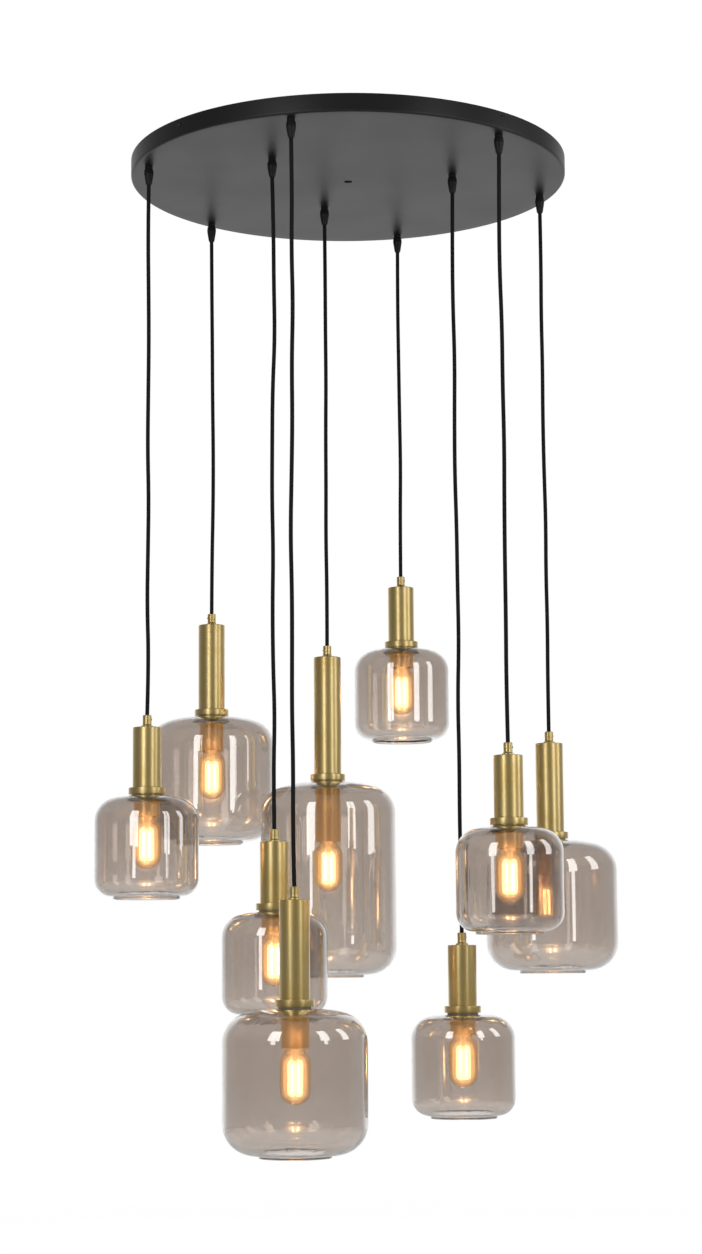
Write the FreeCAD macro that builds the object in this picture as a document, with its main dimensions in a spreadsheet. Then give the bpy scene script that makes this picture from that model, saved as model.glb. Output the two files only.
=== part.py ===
"""Cluster pendant: nine blown-glass shades on textile cords under one round ceiling canopy.

Frame: millimetres, +Z up. The origin is the centre of the ceiling bracket's top face, which
lies against the ceiling, so that everything else hangs below Z = 0.
"""
import FreeCAD
import Part
import math
import os
import Sketcher
from FreeCAD import Placement, Rotation, Vector

doc = FreeCAD.newDocument("cluster_pendant")

# ---------------------------------------------------------------- driving dimensions
# Every size that can be set by itself is one cell. Lengths are millimetres, turns are degrees.

DIMENSIONS = [
    # canopy
    ("canopy_radius", 350), ("canopy_height", 28), ("canopy_sheet", 1.5),
    ("canopy_edge_radius", 4), ("supply_hole_radius", 6.5),
    # ceiling bracket, a cross of strip steel with a lug bent down at each end
    ("bracket_turn", 42.5), ("bracket_width", 60), ("bracket_sheet", 2.5),
    ("bracket_gap", 0.2), ("lug_drop", 22), ("ceiling_hole_circle_radius", 120),
    ("ceiling_hole_radius", 2.75), ("bracket_centre_hole_radius", 12),
    # screws through the canopy's rim into the lugs
    ("rim_screw_radius", 1.95), ("rim_screw_play", 0.3), ("rim_screw_depth", 9),
    ("rim_screw_length", 10),
    ("rim_screw_head_radius", 3.8), ("rim_screw_head_height", 2.2),
    # cord and its ends
    ("cord_radius", 3.1), ("cord_play", 0.25), ("cord_entry", 0.5),
    # cord grips in the canopy
    ("grip_thread_radius", 5), ("thread_play", 0.05), ("grip_hole_play", 0.1),
    ("grip_neck_radius", 6.1), ("grip_neck_height", 4.5), ("grip_cap_top_radius", 6.9),
    ("grip_cap_radius", 7.5), ("grip_cap_height", 25), ("grip_belly_top", 4),
    ("grip_belly_height", 4), ("grip_nose_radius", 5.1), ("grip_nose_height", 2),
    ("grip_mouth_radius", 4.1), ("grip_nut_width", 17), ("grip_nut_height", 4),
    ("grip_thread_above_nut", 3),
    # leads inside the canopy, and the box in which they are joined
    ("lead_bend_radius", 8), ("lead_depth", 8.5), ("box_radius", 42), ("box_height", 16),
    ("box_entry", 6),
    # upper brass tube and the bush on it
    ("tube_radius", 22), ("tube_wall", 1), ("tube_top_sheet", 2.5), ("tube_edge_radius", 1.2),
    ("bush_radius", 6.8), ("bush_height", 19), ("bush_foot_radius", 9.5),
    ("bush_foot_height", 2.4), ("bush_chamfer", 0.7), ("bush_thread_depth", 8),
    ("grub_screw_radius", 1.5), ("grub_screw_height", 12), ("grub_screw_out", 0.8),
    ("grub_screw_play", 0.05), ("nipple_wall", 1.4), ("nipple_radius", 5),
    # clamp stack on the glass: collar, gaskets, ring nut
    ("collar_radius", 28.25), ("collar_height", 8.4), ("collar_step_radius", 22.5),
    ("collar_step_height", 3), ("collar_chamfer", 0.8), ("shadow_gap", 1.2),
    ("shadow_neck_radius", 21.4), ("spigot_height", 5.4), ("spigot_play", 0.2),
    ("collar_bore_play", 0.3), ("upper_gasket_radius", 24), ("upper_gasket_height", 2),
    ("lower_gasket_radius", 31), ("lower_gasket_height", 1.5), ("gasket_play", 0.5),
    ("ring_nut_radius", 26), ("ring_nut_height", 3.5),
    # lamp holder: brass sleeve and its insulating core
    ("sleeve_radius", 20.5), ("sleeve_wall", 1), ("sleeve_neck_radius", 19),
    ("sleeve_neck_height", 25.5), ("core_play", 0.3), ("core_height", 44),
    ("core_recess", 1.5), ("core_flange_height", 3), ("core_socket_depth", 25.5),
    # screw-base bulb
    ("bulb_radius", 22.5), ("bulb_length", 80), ("bulb_glass", 1), ("bulb_neck_radius", 12.4),
    ("bulb_taper_height", 15), ("cap_radius", 13.2), ("cap_wall", 0.4), ("cap_height", 19),
    ("cap_play", 0.4), ("cap_tip_radius", 5), ("cap_tip_height", 2.5), ("stem_radius", 4),
    ("stem_length", 22), ("filament_radius", 0.9), ("filament_length", 40),
    ("filament_circle_radius", 6), ("hub_margin", 0.7), ("hub_height", 2),
    ("stem_flare_play", 0.2),
    # shared sizes of the glass shades
    ("glass_wall", 2.5), ("glass_hole_radius", 20), ("crown_start_radius", 31),
    ("lip_height", 4),
    # rings of holes in the canopy
    ("outer_ring_radius", 327), ("inner_ring_radius", 170),
    ("spread_hole_radius", 336), ("near_hole_radius", 151),
]

# Size classes: glass radius, glass height, shoulder, crown, foot and base radii, mouth radius,
# length of the brass tube, length of the sleeve that shows below the glass's top face.
CLASS_SIZES = ["glass_radius", "glass_height", "shoulder_radius", "crown_radius",
               "foot_radius", "base_radius", "mouth_radius", "tube_length", "sleeve_reach"]
CLASSES = {
    "small": [80, 157, 36, 100, 27, 100, 51.5, 92, 31],
    "medium": [104.5, 210, 44, 150, 45, 120, 52.5, 141, 56],
    "large": [109.5, 314, 44, 150, 45, 120, 57, 190.5, 96],
}

# Pendants: number, size class, radius of the hole's ring, the hole's turn from +X, drop from the
# canopy's underside to the top of the brass tube, and the turn of the bush's grub screw.
# Pendants 2 and 3 hang a little off their rings, so that their shades pass each other.
PENDANTS = [
    (1, "small", "outer_ring_radius", 195, 892, 0),
    (2, "medium", "spread_hole_radius", 134.2, 691, 200),
    (3, "large", "near_hole_radius", 105.4, 758, 160),
    (4, "small", "inner_ring_radius", 225.5, 1071, 180),
    (5, "small", "outer_ring_radius", 75, 619, 330),
    (6, "small", "outer_ring_radius", 315, 951, 0),
    (7, "medium", "outer_ring_radius", 15, 907, 10),
    (8, "medium", "outer_ring_radius", 255, 1164, 180),
    (9, "small", "inner_ring_radius", 350, 1228, 20),
]

# Each cord's route between its two ends, as (sideways along X, along Y, distance below the
# grip's mouth): a heavy pendant pulls the cord nearly straight, but the braid keeps the gentle
# uneven waves of having been rolled up.
CORD_ROUTES = {
    1: [(-0.9, 0.3, 80), (0.2, -0.4, 166), (0.9, 0.2, 255), (0.2, 0.5, 338), (-0.5, -0.3, 424),
        (1.5, -0.6, 505), (0.4, 0.4, 592), (-0.6, 0.3, 673), (2.2, -0.4, 760)],
    2: [(0.4, -0.3, 88), (1.2, 0.4, 180), (1.6, -0.3, 273), (2.8, 0.3, 366), (2.5, -0.2, 459),
        (0.5, 0.4, 553)],
    3: [(0.5, 0.4, 86), (0.4, -0.5, 175), (0.9, 0.3, 266), (-0.2, 0.4, 354), (-0.1, -0.4, 443),
        (-0.9, 0.2, 531), (0.4, 0.3, 622)],
    4: [(1.8, -0.3, 82), (2.0, 0.5, 169), (3.4, 0.1, 256), (-0.4, -0.5, 340), (-1.3, 0.3, 427),
        (-1.9, -0.3, 512), (-0.2, 0.4, 597), (-1.7, -0.4, 682), (-1.1, 0.3, 768),
        (1.3, -0.3, 853), (-1.0, 0.3, 938)],
    5: [(-0.7, 0.3, 91), (0.0, -0.4, 188), (0.7, 0.3, 284), (1.7, -0.2, 379), (0.0, 0.4, 476)],
    6: [(-1.3, 0.4, 87), (-1.8, -0.3, 178), (0.6, -0.5, 270), (0.3, 0.4, 361), (1.4, 0.3, 451),
        (0.1, -0.5, 542), (-0.3, 0.3, 632), (-0.2, -0.4, 722), (-0.9, 0.3, 812)],
    7: [(0.4, -0.4, 83), (-0.7, 0.3, 171), (0.1, 0.5, 257), (-0.9, -0.3, 343), (-0.4, 0.4, 430),
        (1.0, -0.3, 515), (-0.1, 0.3, 601), (0.9, 0.4, 688), (-0.2, -0.4, 772)],
    8: [(1.1, 0.3, 82), (-0.2, -0.4, 170), (1.8, 0.3, 256), (-0.5, 0.5, 342), (0.2, -0.3, 429),
        (-1.4, 0.3, 514), (-3.3, -0.4, 600), (-1.5, 0.3, 687), (-1.7, 0.5, 772),
        (-2.3, -0.3, 858), (-0.8, 0.4, 944), (-1.6, -0.3, 1030)],
    9: [(-1.3, 0.4, 87), (-1.6, -0.3, 180), (0.3, 0.4, 271), (-1.2, -0.4, 362),
        (-1.9, 0.3, 453), (0.0, 0.5, 544), (0.2, -0.3, 635), (1.2, 0.3, 726), (-1.7, -0.4, 817),
        (-0.4, 0.4, 907), (-1.1, -0.3, 998), (-0.2, 0.3, 1089)],
}

RUN_SHARE = 0.45

sheet = doc.addObject("Spreadsheet::Sheet", "dims")
next_row = 1


def set_cell(alias, content):
    """Write one value or formula into the sheet under its alias."""
    global next_row
    sheet.set(f"A{next_row}", alias)
    sheet.set(f"B{next_row}", str(content))
    sheet.setAlias(f"B{next_row}", alias)
    next_row += 1


for alias, number in DIMENSIONS:
    set_cell(alias, number)
for size, numbers in CLASSES.items():
    for alias, number in zip(CLASS_SIZES, numbers):
        set_cell(f"{size}_{alias}", number)
for number, size, ring, turn, drop, screw_turn in PENDANTS:
    set_cell(f"hole_turn_{number}", turn)
    set_cell(f"drop_{number}", drop)
    set_cell(f"screw_turn_{number}", screw_turn)

# Sizes that follow from the driving ones.
set_cell("grip_depth", "=canopy_height + grip_neck_height + grip_cap_height")
set_cell("clamp_height", "=upper_gasket_height + collar_step_height + collar_height + shadow_gap")
set_cell("sleeve_top_gap", "=glass_wall + lower_gasket_height + ring_nut_height")
set_cell("cord_hole_radius", "=cord_radius + cord_play")
set_cell("thread_hole_radius", "=grip_thread_radius + thread_play")
set_cell("nipple_hole_radius", "=nipple_radius + thread_play")
for size in CLASSES:
    g = size + "_"
    set_cell(g + "crown_run", f"={g}glass_radius - {g}shoulder_radius - crown_start_radius")
    set_cell(g + "crown_arm", f"={g}crown_radius - {g}shoulder_radius")
    set_cell(g + "shoulder_drop",
             f"={g}crown_radius - sqrt({g}crown_arm * {g}crown_arm - {g}crown_run * {g}crown_run)")
    set_cell(g + "base_run", f"={g}glass_radius - {g}foot_radius - {g}mouth_radius")
    set_cell(g + "base_arm", f"={g}base_radius - {g}foot_radius")
    set_cell(g + "foot_rise",
             f"={g}base_radius - sqrt({g}base_arm * {g}base_arm - {g}base_run * {g}base_run)")
    set_cell(g + "sleeve_length", f"={g}sleeve_reach - sleeve_top_gap")
for number, size, ring, turn, drop, screw_turn in PENDANTS:
    set_cell(f"hole_x_{number}", f"={ring} * cos(hole_turn_{number} * 1 deg)")
    set_cell(f"hole_y_{number}", f"={ring} * sin(hole_turn_{number} * 1 deg)")
    set_cell(f"tube_top_{number}", f"=-canopy_height - drop_{number}")
    set_cell(f"tube_foot_{number}", f"=tube_top_{number} - {size}_tube_length")
    set_cell(f"glass_top_{number}", f"=tube_foot_{number} - clamp_height")
    set_cell(f"glass_lip_{number}", f"=glass_top_{number} - {size}_glass_height")
    set_cell(f"sleeve_rim_{number}", f"=glass_top_{number} - {size}_sleeve_reach")
    set_cell(f"core_top_{number}", f"=sleeve_rim_{number} + core_recess + core_height")
doc.recompute()


def size_of(text):
    """The number that an expression over the sheet gives."""
    value = sheet.evalExpression(text)
    return float(getattr(value, "Value", value))


def bound(text):
    """The same expression as another object of the document writes it."""
    return "".join(f"dims.{word}" if sheet.getCellFromAlias(word) else word
                   for word in split_words(text))


def split_words(text):
    """Cut an expression into names and what stands between them."""
    words = [""]
    for character in text:
        is_name = character.isalnum() or character == "_"
        if words[-1] and is_name != (words[-1][-1].isalnum() or words[-1][-1] == "_"):
            words.append("")
        words[-1] += character
    return words


# ---------------------------------------------------------------- building blocks

def place(thing, across="0", along="0", height="0", turn="0"):
    """Bind an object's position, and its turn about Z, to the sheet."""
    thing.Placement = Placement(Vector(size_of(across), size_of(along), size_of(height)),
                                Rotation(Vector(0, 0, 1), size_of(turn)))
    thing.setExpression("Placement.Base.x", bound(across))
    thing.setExpression("Placement.Base.y", bound(along))
    thing.setExpression("Placement.Base.z", bound(height))
    if turn != "0":
        thing.setExpression("Placement.Rotation.Angle", f"({bound(turn)}) * 1 deg")


def origin_plane(body, role):
    """One of a body's own origin planes."""
    return next(item for item in body.Origin.OriginFeatures if item.Role == role)


def new_sketch(body, name, role):
    """An empty sketch on one of the body's origin planes."""
    sketch = body.newObject("Sketcher::SketchObject", name)
    sketch.AttachmentSupport = [(origin_plane(body, role), "")]
    sketch.MapMode = "FlatFace"
    return sketch


def bind(sketch, kind, arguments, text):
    """Add a dimension whose value is an expression over the sheet."""
    index = sketch.addConstraint(Sketcher.Constraint(kind, *arguments, size_of(text)))
    sketch.setExpression(f"Constraints[{index}]", bound(text))


def bulge_point(start, end, radius, side):
    """The middle of an arc from start to end. With side +1 its centre lies on the left."""
    chord = end - start
    left = Vector(-chord.y, chord.x, 0).normalize()
    reach = math.sqrt(max(radius ** 2 - (chord.Length / 2) ** 2, 0))
    return (start + end) * 0.5 - left * (side * (radius - reach))


def draw_outline(sketch, corners):
    """A closed outline. Each corner is (radius, height) or (radius, height, arc, side): the
    arc, if there is one, runs from that corner to the next one. Side 0 marks a half circle,
    whose centre is level with its two ends."""
    points = [Vector(size_of(corner[0]), size_of(corner[1]), 0) for corner in corners]
    count = len(corners)
    for index, corner in enumerate(corners):
        start = points[index]
        end = points[(index + 1) % count]
        if len(corner) == 2:
            sketch.addGeometry(Part.LineSegment(start, end), False)
        else:
            bulge = bulge_point(start, end, size_of(corner[2]), corner[3] or 1)
            ways = (end, bulge, start) if corner[3] < 0 else (start, bulge, end)
            sketch.addGeometry(Part.Arc(*ways), False)
    ends = [edge_ends(sketch.Geometry[index], points[index]) for index in range(count)]
    for index in range(count):
        after = (index + 1) % count
        sketch.addConstraint(
            Sketcher.Constraint("Coincident", index, ends[index][1], after, ends[after][0]))
    for index, corner in enumerate(corners):
        spot = (index, ends[index][0])
        if corner[0] == "0":
            sketch.addConstraint(Sketcher.Constraint("PointOnObject", *spot, -2))
        else:
            bind(sketch, "DistanceX", (-1, 1, *spot), corner[0])
        if corner[1] == "0":
            sketch.addConstraint(Sketcher.Constraint("PointOnObject", *spot, -1))
        else:
            bind(sketch, "DistanceY", (-1, 1, *spot), corner[1])
        if len(corner) > 2 and corner[3] == 0:
            bind(sketch, "DistanceY", (-1, 1, index, 3), corner[1])
        elif len(corner) > 2:
            bind(sketch, "Radius", (index,), corner[2])


def edge_ends(edge, start):
    """An edge's end marks, 1 and 2, in the outline's order: an arc's own always run left about."""
    return (1, 2) if (edge.StartPoint - start).Length < 1e-6 else (2, 1)


def turned(name, corners):
    """A body turned about its own Z axis from an outline of radii and heights."""
    body = doc.addObject("PartDesign::Body", name)
    sketch = new_sketch(body, name + "_outline", "XZ_Plane")
    draw_outline(sketch, corners)
    revolution = body.newObject("PartDesign::Revolution", name + "_turning")
    revolution.Profile = sketch
    revolution.ReferenceAxis = (sketch, ["V_Axis"])
    revolution.Angle = 360
    body.Tip = revolution
    return body


def rod(name, radius, length, turn_axis=None, turn="90"):
    """A cylinder, laid over if a turn axis is given."""
    cylinder = doc.addObject("Part::Cylinder", name)
    cylinder.setExpression("Radius", bound(radius))
    cylinder.setExpression("Height", bound(length))
    if turn_axis:
        cylinder.Placement = Placement(Vector(), Rotation(turn_axis, float(turn)))
    return cylinder


def cut(name, base, tool):
    """Base less tool."""
    result = doc.addObject("Part::Cut", name)
    result.Base = base
    result.Tool = tool
    return result


def group(label, members):
    """A sub-part of several separate solids."""
    compound = doc.addObject("Part::Compound", label)
    compound.Label = label
    compound.Links = members
    return compound


sub_parts = []


def keep(thing, label):
    """Name an object as one of the lamp's sub-parts."""
    thing.Label = label
    sub_parts.append(thing)
    return thing


# ---------------------------------------------------------------- cord tubes

def tube_along(points, radius):
    """A round tube along straight runs joined by tangent arcs. Returns the solid, its path's
    length and the arcs' radii."""
    edges = []
    radii = []
    last = points[0]
    for before, corner, after in zip(points, points[1:], points[2:]):
        way_in = (corner - before).normalize()
        way_out = (after - corner).normalize()
        half_turn = way_in.getAngle(way_out) / 2
        trim = RUN_SHARE * min((corner - before).Length, (after - corner).Length)
        arc_radius = trim / math.tan(half_turn)
        arc_start = corner - way_in * trim
        arc_end = corner + way_out * trim
        bisector = (way_out - way_in).normalize()
        middle = corner + bisector * (arc_radius / math.cos(half_turn) - arc_radius)
        edges.append(Part.LineSegment(last, arc_start).toShape())
        edges.append(Part.Arc(arc_start, middle, arc_end).toShape())
        radii.append(arc_radius)
        last = arc_end
    edges.append(Part.LineSegment(last, points[-1]).toShape())
    path = Part.Wire(edges)
    start_way = (points[1] - points[0]).normalize()
    circle = Part.Circle(points[0], start_way, radius).toShape()
    return path.makePipeShell([Part.Wire([circle])], True, False), path.Length, radii


def report_tube(label, solid, length, radius, radii):
    """Compare the tube's volume with its section times its length."""
    section = math.pi * radius ** 2
    print(f"{label}: length {length:.1f}, arc radii {min(radii):.0f} to {max(radii):.0f}, "
          f"volume ratio {solid.Volume / (section * length):.5f}")


# ---------------------------------------------------------------- canopy

def build_canopy():
    """Spun steel pan, open towards the ceiling, with a hole for each cord grip, one for the
    supply and screw holes in its rim."""
    body = turned("canopy_shell", [
        ("0", "0"),
        ("canopy_radius - canopy_edge_radius", "0", "canopy_edge_radius", 1),
        ("canopy_radius", "canopy_edge_radius"),
        ("canopy_radius", "canopy_height"),
        ("canopy_radius - canopy_sheet", "canopy_height"),
        ("canopy_radius - canopy_sheet", "canopy_edge_radius",
         "canopy_edge_radius - canopy_sheet", -1),
        ("canopy_radius - canopy_edge_radius", "canopy_sheet"),
        ("0", "canopy_sheet"),
    ])
    sketch = new_sketch(body, "canopy_holes", "XY_Plane")
    places = [(f"hole_x_{row[0]}", f"hole_y_{row[0]}") for row in PENDANTS]
    for index, (across, along) in enumerate(places):
        centre = Vector(size_of(across), size_of(along), 0)
        radius = size_of("grip_thread_radius + grip_hole_play")
        sketch.addGeometry(Part.Circle(centre, Vector(0, 0, 1), radius), False)
        bind(sketch, "DistanceX", (-1, 1, index, 3), across)
        bind(sketch, "DistanceY", (-1, 1, index, 3), along)
        bind(sketch, "Radius", (index,), "grip_thread_radius + grip_hole_play")
    supply = sketch.addGeometry(
        Part.Circle(Vector(), Vector(0, 0, 1), size_of("supply_hole_radius")), False)
    sketch.addConstraint(Sketcher.Constraint("Coincident", supply, 3, -1, 1))
    bind(sketch, "Radius", (supply,), "supply_hole_radius")
    pocket = body.newObject("PartDesign::Pocket", "canopy_hole_pocket")
    pocket.Profile = sketch
    pocket.Type = 0
    pocket.Midplane = True
    pocket.setExpression("Length", bound("canopy_sheet * 4"))
    body.Tip = pocket
    place(body, height="-canopy_height")
    drills = doc.addObject("Part::MultiFuse", "rim_drills")
    drills.Shapes = [rim_rod(f"rim_drill_{index}", turn, "rim_screw_radius + rim_screw_play",
                             "canopy_sheet * 6", "canopy_radius - canopy_sheet * 3")
                     for index, turn in enumerate(rim_screw_turns())]
    keep(cut("canopy_pan", body, drills), "canopy_pan")


def rim_screw_turns():
    """The four rim screws' turns: one in the middle of each of the bracket's lugs."""
    return [f"bracket_turn + {90 * arm}" for arm in range(4)]


def rim_rod(name, turn, radius, length, start):
    """A cylinder that points outwards through the rim, from a distance off the centre."""
    cylinder = rod(name, radius, length)
    degrees = size_of(turn)
    spin = Rotation(Vector(0, 0, 1), degrees) * Rotation(Vector(0, 1, 0), 90)
    cylinder.Placement = Placement(Vector(), spin)
    cylinder.setExpression("Placement.Base.x", f"({bound(start)}) * cos(({bound(turn)}) * 1 deg)")
    cylinder.setExpression("Placement.Base.y", f"({bound(start)}) * sin(({bound(turn)}) * 1 deg)")
    cylinder.setExpression("Placement.Base.z", bound("-rim_screw_depth"))
    return cylinder


def build_rim_screws():
    """Button-head screws: the head sits on the rim, the shank goes through the lug."""
    screws = []
    for index, turn in enumerate(rim_screw_turns()):
        shank = rim_rod(f"rim_shank_{index}", turn, "rim_screw_radius", "rim_screw_length",
                        "canopy_radius - rim_screw_length")
        head = rim_rod(f"rim_head_{index}", turn, "rim_screw_head_radius",
                       "rim_screw_head_height", "canopy_radius + thread_play")
        neck = rim_rod(f"rim_neck_{index}", turn, "rim_screw_radius", "rim_screw_head_height",
                       "canopy_radius - thread_play")
        screw = doc.addObject("Part::MultiFuse", f"rim_screw_{index}")
        screw.Shapes = [shank, neck, head]
        screws.append(screw)
    keep(group("canopy_screws", screws), "canopy_screws")


# ---------------------------------------------------------------- ceiling bracket

def build_bracket():
    """Steel cross under the ceiling. Each arm has a ceiling hole and ends in a bent-down lug
    with a screw hole; it is one arm, repeated four times round the centre."""
    body = doc.addObject("PartDesign::Body", "bracket_body")
    half = "bracket_width / 2"
    lug_face = ("sqrt((canopy_radius - canopy_sheet) * (canopy_radius - canopy_sheet)"
                " - bracket_width * bracket_width / 4) - bracket_gap")
    arm_sketch = new_sketch(body, "arm_outline", "XY_Plane")
    draw_outline(arm_sketch, [("0", f"-{half}"), (lug_face, f"-{half}"), (lug_face, half),
                              ("0", half)])
    arm = body.newObject("PartDesign::Pad", "arm_pad")
    arm.Profile = arm_sketch
    arm.Reversed = True
    arm.setExpression("Length", bound("bracket_sheet"))
    lug_sketch = new_sketch(body, "lug_outline", "XY_Plane")
    lug_back = f"{lug_face} - bracket_sheet"
    draw_outline(lug_sketch, [(lug_back, f"-{half}"), (lug_face, f"-{half}"), (lug_face, half),
                              (lug_back, half)])
    lug = body.newObject("PartDesign::Pad", "lug_pad")
    lug.Profile = lug_sketch
    lug.Reversed = True
    lug.setExpression("Length", bound("lug_drop"))
    hole_sketch = new_sketch(body, "ceiling_hole_outline", "XY_Plane")
    hole_sketch.addGeometry(
        Part.Circle(Vector(size_of("ceiling_hole_circle_radius"), 0, 0), Vector(0, 0, 1),
                    size_of("ceiling_hole_radius")), False)
    bind(hole_sketch, "DistanceX", (-1, 1, 0, 3), "ceiling_hole_circle_radius")
    hole_sketch.addConstraint(Sketcher.Constraint("PointOnObject", 0, 3, -1))
    bind(hole_sketch, "Radius", (0,), "ceiling_hole_radius")
    hole = body.newObject("PartDesign::Pocket", "ceiling_hole")
    hole.Profile = hole_sketch
    hole.Type = 0
    hole.Midplane = True
    hole.setExpression("Length", bound("bracket_sheet * 4"))
    lug_hole_sketch = new_sketch(body, "lug_hole_outline", "YZ_Plane")
    lug_hole_sketch.addGeometry(
        Part.Circle(Vector(0, -size_of("rim_screw_depth"), 0), Vector(0, 0, 1),
                    size_of("rim_screw_radius + rim_screw_play")), False)
    lug_hole_sketch.addConstraint(Sketcher.Constraint("PointOnObject", 0, 3, -2))
    bind(lug_hole_sketch, "DistanceY", (-1, 1, 0, 3), "-rim_screw_depth")
    bind(lug_hole_sketch, "Radius", (0,), "rim_screw_radius + rim_screw_play")
    lug_hole = body.newObject("PartDesign::Pocket", "lug_hole")
    lug_hole.Profile = lug_hole_sketch
    lug_hole.Type = 0
    lug_hole.Midplane = True
    lug_hole.setExpression("Length", bound("canopy_radius * 4"))
    doc.recompute()
    pattern = body.newObject("PartDesign::PolarPattern", "four_arms")
    pattern.Originals = [arm, lug, hole, lug_hole]
    pattern.Axis = (arm_sketch, ["N_Axis"])
    pattern.Angle = 360
    pattern.Occurrences = 4
    body.Tip = pattern
    centre_sketch = new_sketch(body, "centre_hole_outline", "XY_Plane")
    centre_sketch.addGeometry(
        Part.Circle(Vector(), Vector(0, 0, 1), size_of("bracket_centre_hole_radius")), False)
    centre_sketch.addConstraint(Sketcher.Constraint("Coincident", 0, 3, -1, 1))
    bind(centre_sketch, "Radius", (0,), "bracket_centre_hole_radius")
    centre = body.newObject("PartDesign::Pocket", "centre_hole")
    centre.Profile = centre_sketch
    centre.Type = 0
    centre.Midplane = True
    centre.setExpression("Length", bound("bracket_sheet * 4"))
    body.Tip = centre
    place(body, turn="bracket_turn")
    keep(body, "ceiling_bracket")


# ---------------------------------------------------------------- cord grips and leads

def build_grips():
    """A plastic cord grip in each hole: threaded body, clamping cap and lock nut."""
    members = []
    for number, *rest in PENDANTS:
        stem = turned(f"grip_body_{number}", [
            ("cord_hole_radius", "0"),
            ("grip_neck_radius", "0"),
            ("grip_neck_radius", "grip_neck_height"),
            ("grip_thread_radius", "grip_neck_height"),
            ("grip_thread_radius",
             "grip_neck_height + canopy_sheet + grip_nut_height + grip_thread_above_nut"),
            ("cord_hole_radius",
             "grip_neck_height + canopy_sheet + grip_nut_height + grip_thread_above_nut"),
        ])
        place(stem, f"hole_x_{number}", f"hole_y_{number}", "-canopy_height - grip_neck_height")
        cap = turned(f"grip_cap_{number}", [
            ("cord_hole_radius", "0"),
            ("grip_mouth_radius", "0"),
            ("grip_nose_radius", "grip_nose_height"),
            ("grip_cap_radius", "grip_cap_height - grip_belly_top - grip_belly_height"),
            ("grip_cap_radius", "grip_cap_height - grip_belly_top"),
            ("grip_cap_top_radius", "grip_cap_height"),
            ("cord_hole_radius", "grip_cap_height"),
        ])
        place(cap, f"hole_x_{number}", f"hole_y_{number}", "-grip_depth")
        hexagon = doc.addObject("Part::Prism", f"grip_nut_blank_{number}")
        hexagon.Polygon = 6
        hexagon.setExpression("Circumradius", bound("grip_nut_width / 2 / cos(30 * 1 deg)"))
        hexagon.setExpression("Height", bound("grip_nut_height"))
        bore = rod(f"grip_nut_bore_{number}", "thread_hole_radius", "grip_nut_height")
        nut = cut(f"grip_nut_{number}", hexagon, bore)
        place(nut, f"hole_x_{number}", f"hole_y_{number}", "-canopy_height + canopy_sheet")
        members += [stem, cap, nut]
    keep(group("cord_grips", members), "cord_grips")


def build_leads():
    """Inside the canopy each cord comes up through its grip, bends over and runs to the box."""
    leads = []
    for number, *rest in PENDANTS:
        across = size_of(f"hole_x_{number}")
        along = size_of(f"hole_y_{number}")
        outwards = Vector(across, along, 0).normalize()
        foot = Vector(across, along, -size_of("grip_depth") + size_of("grip_nose_height"))
        bend_radius = size_of("lead_bend_radius")
        depth = -size_of("lead_depth")
        bend_start = Vector(across, along, depth - bend_radius)
        bend_end = Vector(across, along, depth) - outwards * bend_radius
        bend_centre = bend_start - outwards * bend_radius
        up_and_out = (outwards + Vector(0, 0, 1)).normalize()
        end = outwards * (size_of("box_radius") - size_of("box_entry")) + Vector(0, 0, depth)
        path = Part.Wire([
            Part.LineSegment(foot, bend_start).toShape(),
            Part.Arc(bend_start, bend_centre + up_and_out * bend_radius, bend_end).toShape(),
            Part.LineSegment(bend_end, end).toShape(),
        ])
        circle = Part.Circle(foot, Vector(0, 0, 1), size_of("cord_radius")).toShape()
        lead = doc.addObject("Part::Feature", f"lead_{number}")
        lead.Shape = path.makePipeShell([Part.Wire([circle])], True, False)
        leads.append(lead)
    keep(group("inner_leads", leads), "inner_leads")


def build_terminal_box():
    """Round box under the bracket's centre, with an entry for each lead. It is closed, and what
    it holds doesn't show."""
    drum = rod("box_drum", "box_radius", "box_height")
    place(drum, height="-bracket_sheet - box_height")
    entries = []
    for number, size, ring, *rest in PENDANTS:
        entry = rod(f"box_entry_{number}", "cord_hole_radius", "box_entry * 2")
        turn = size_of(f"hole_turn_{number}")
        entry.Placement.Rotation = (Rotation(Vector(0, 0, 1), turn)
                                    * Rotation(Vector(0, 1, 0), 90))
        start = "(box_radius - box_entry)"
        entry.setExpression("Placement.Base.x",
                            bound(f"{start} * hole_x_{number} / {ring}"))
        entry.setExpression("Placement.Base.y",
                            bound(f"{start} * hole_y_{number} / {ring}"))
        entry.setExpression("Placement.Base.z", bound("-lead_depth"))
        entries.append(entry)
    tools = doc.addObject("Part::MultiFuse", "box_entries")
    tools.Shapes = entries
    keep(cut("terminal_box", drum, tools), "terminal_box")


# ---------------------------------------------------------------- pendants

def build_cord(number):
    """The free cord, from the grip's mouth to the bush on the brass tube."""
    mouth = Vector(size_of(f"hole_x_{number}"), size_of(f"hole_y_{number}"),
                   -size_of("grip_depth"))
    top = mouth + Vector(0, 0, size_of("cord_entry"))
    end = Vector(mouth.x, mouth.y,
                 size_of(f"tube_top_{number} + bush_height - cord_entry"))
    route = [top]
    route += [mouth + Vector(across, along, -below)
              for across, along, below in CORD_ROUTES[number]]
    route.append(end)
    radius = size_of("cord_radius")
    solid, length, radii = tube_along(route, radius)
    cord = doc.addObject("Part::Feature", f"cord_{number}")
    cord.Shape = solid
    report_tube(f"cord_{number}", solid, length, radius, radii)
    keep(cord, f"cord_{number}")


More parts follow.
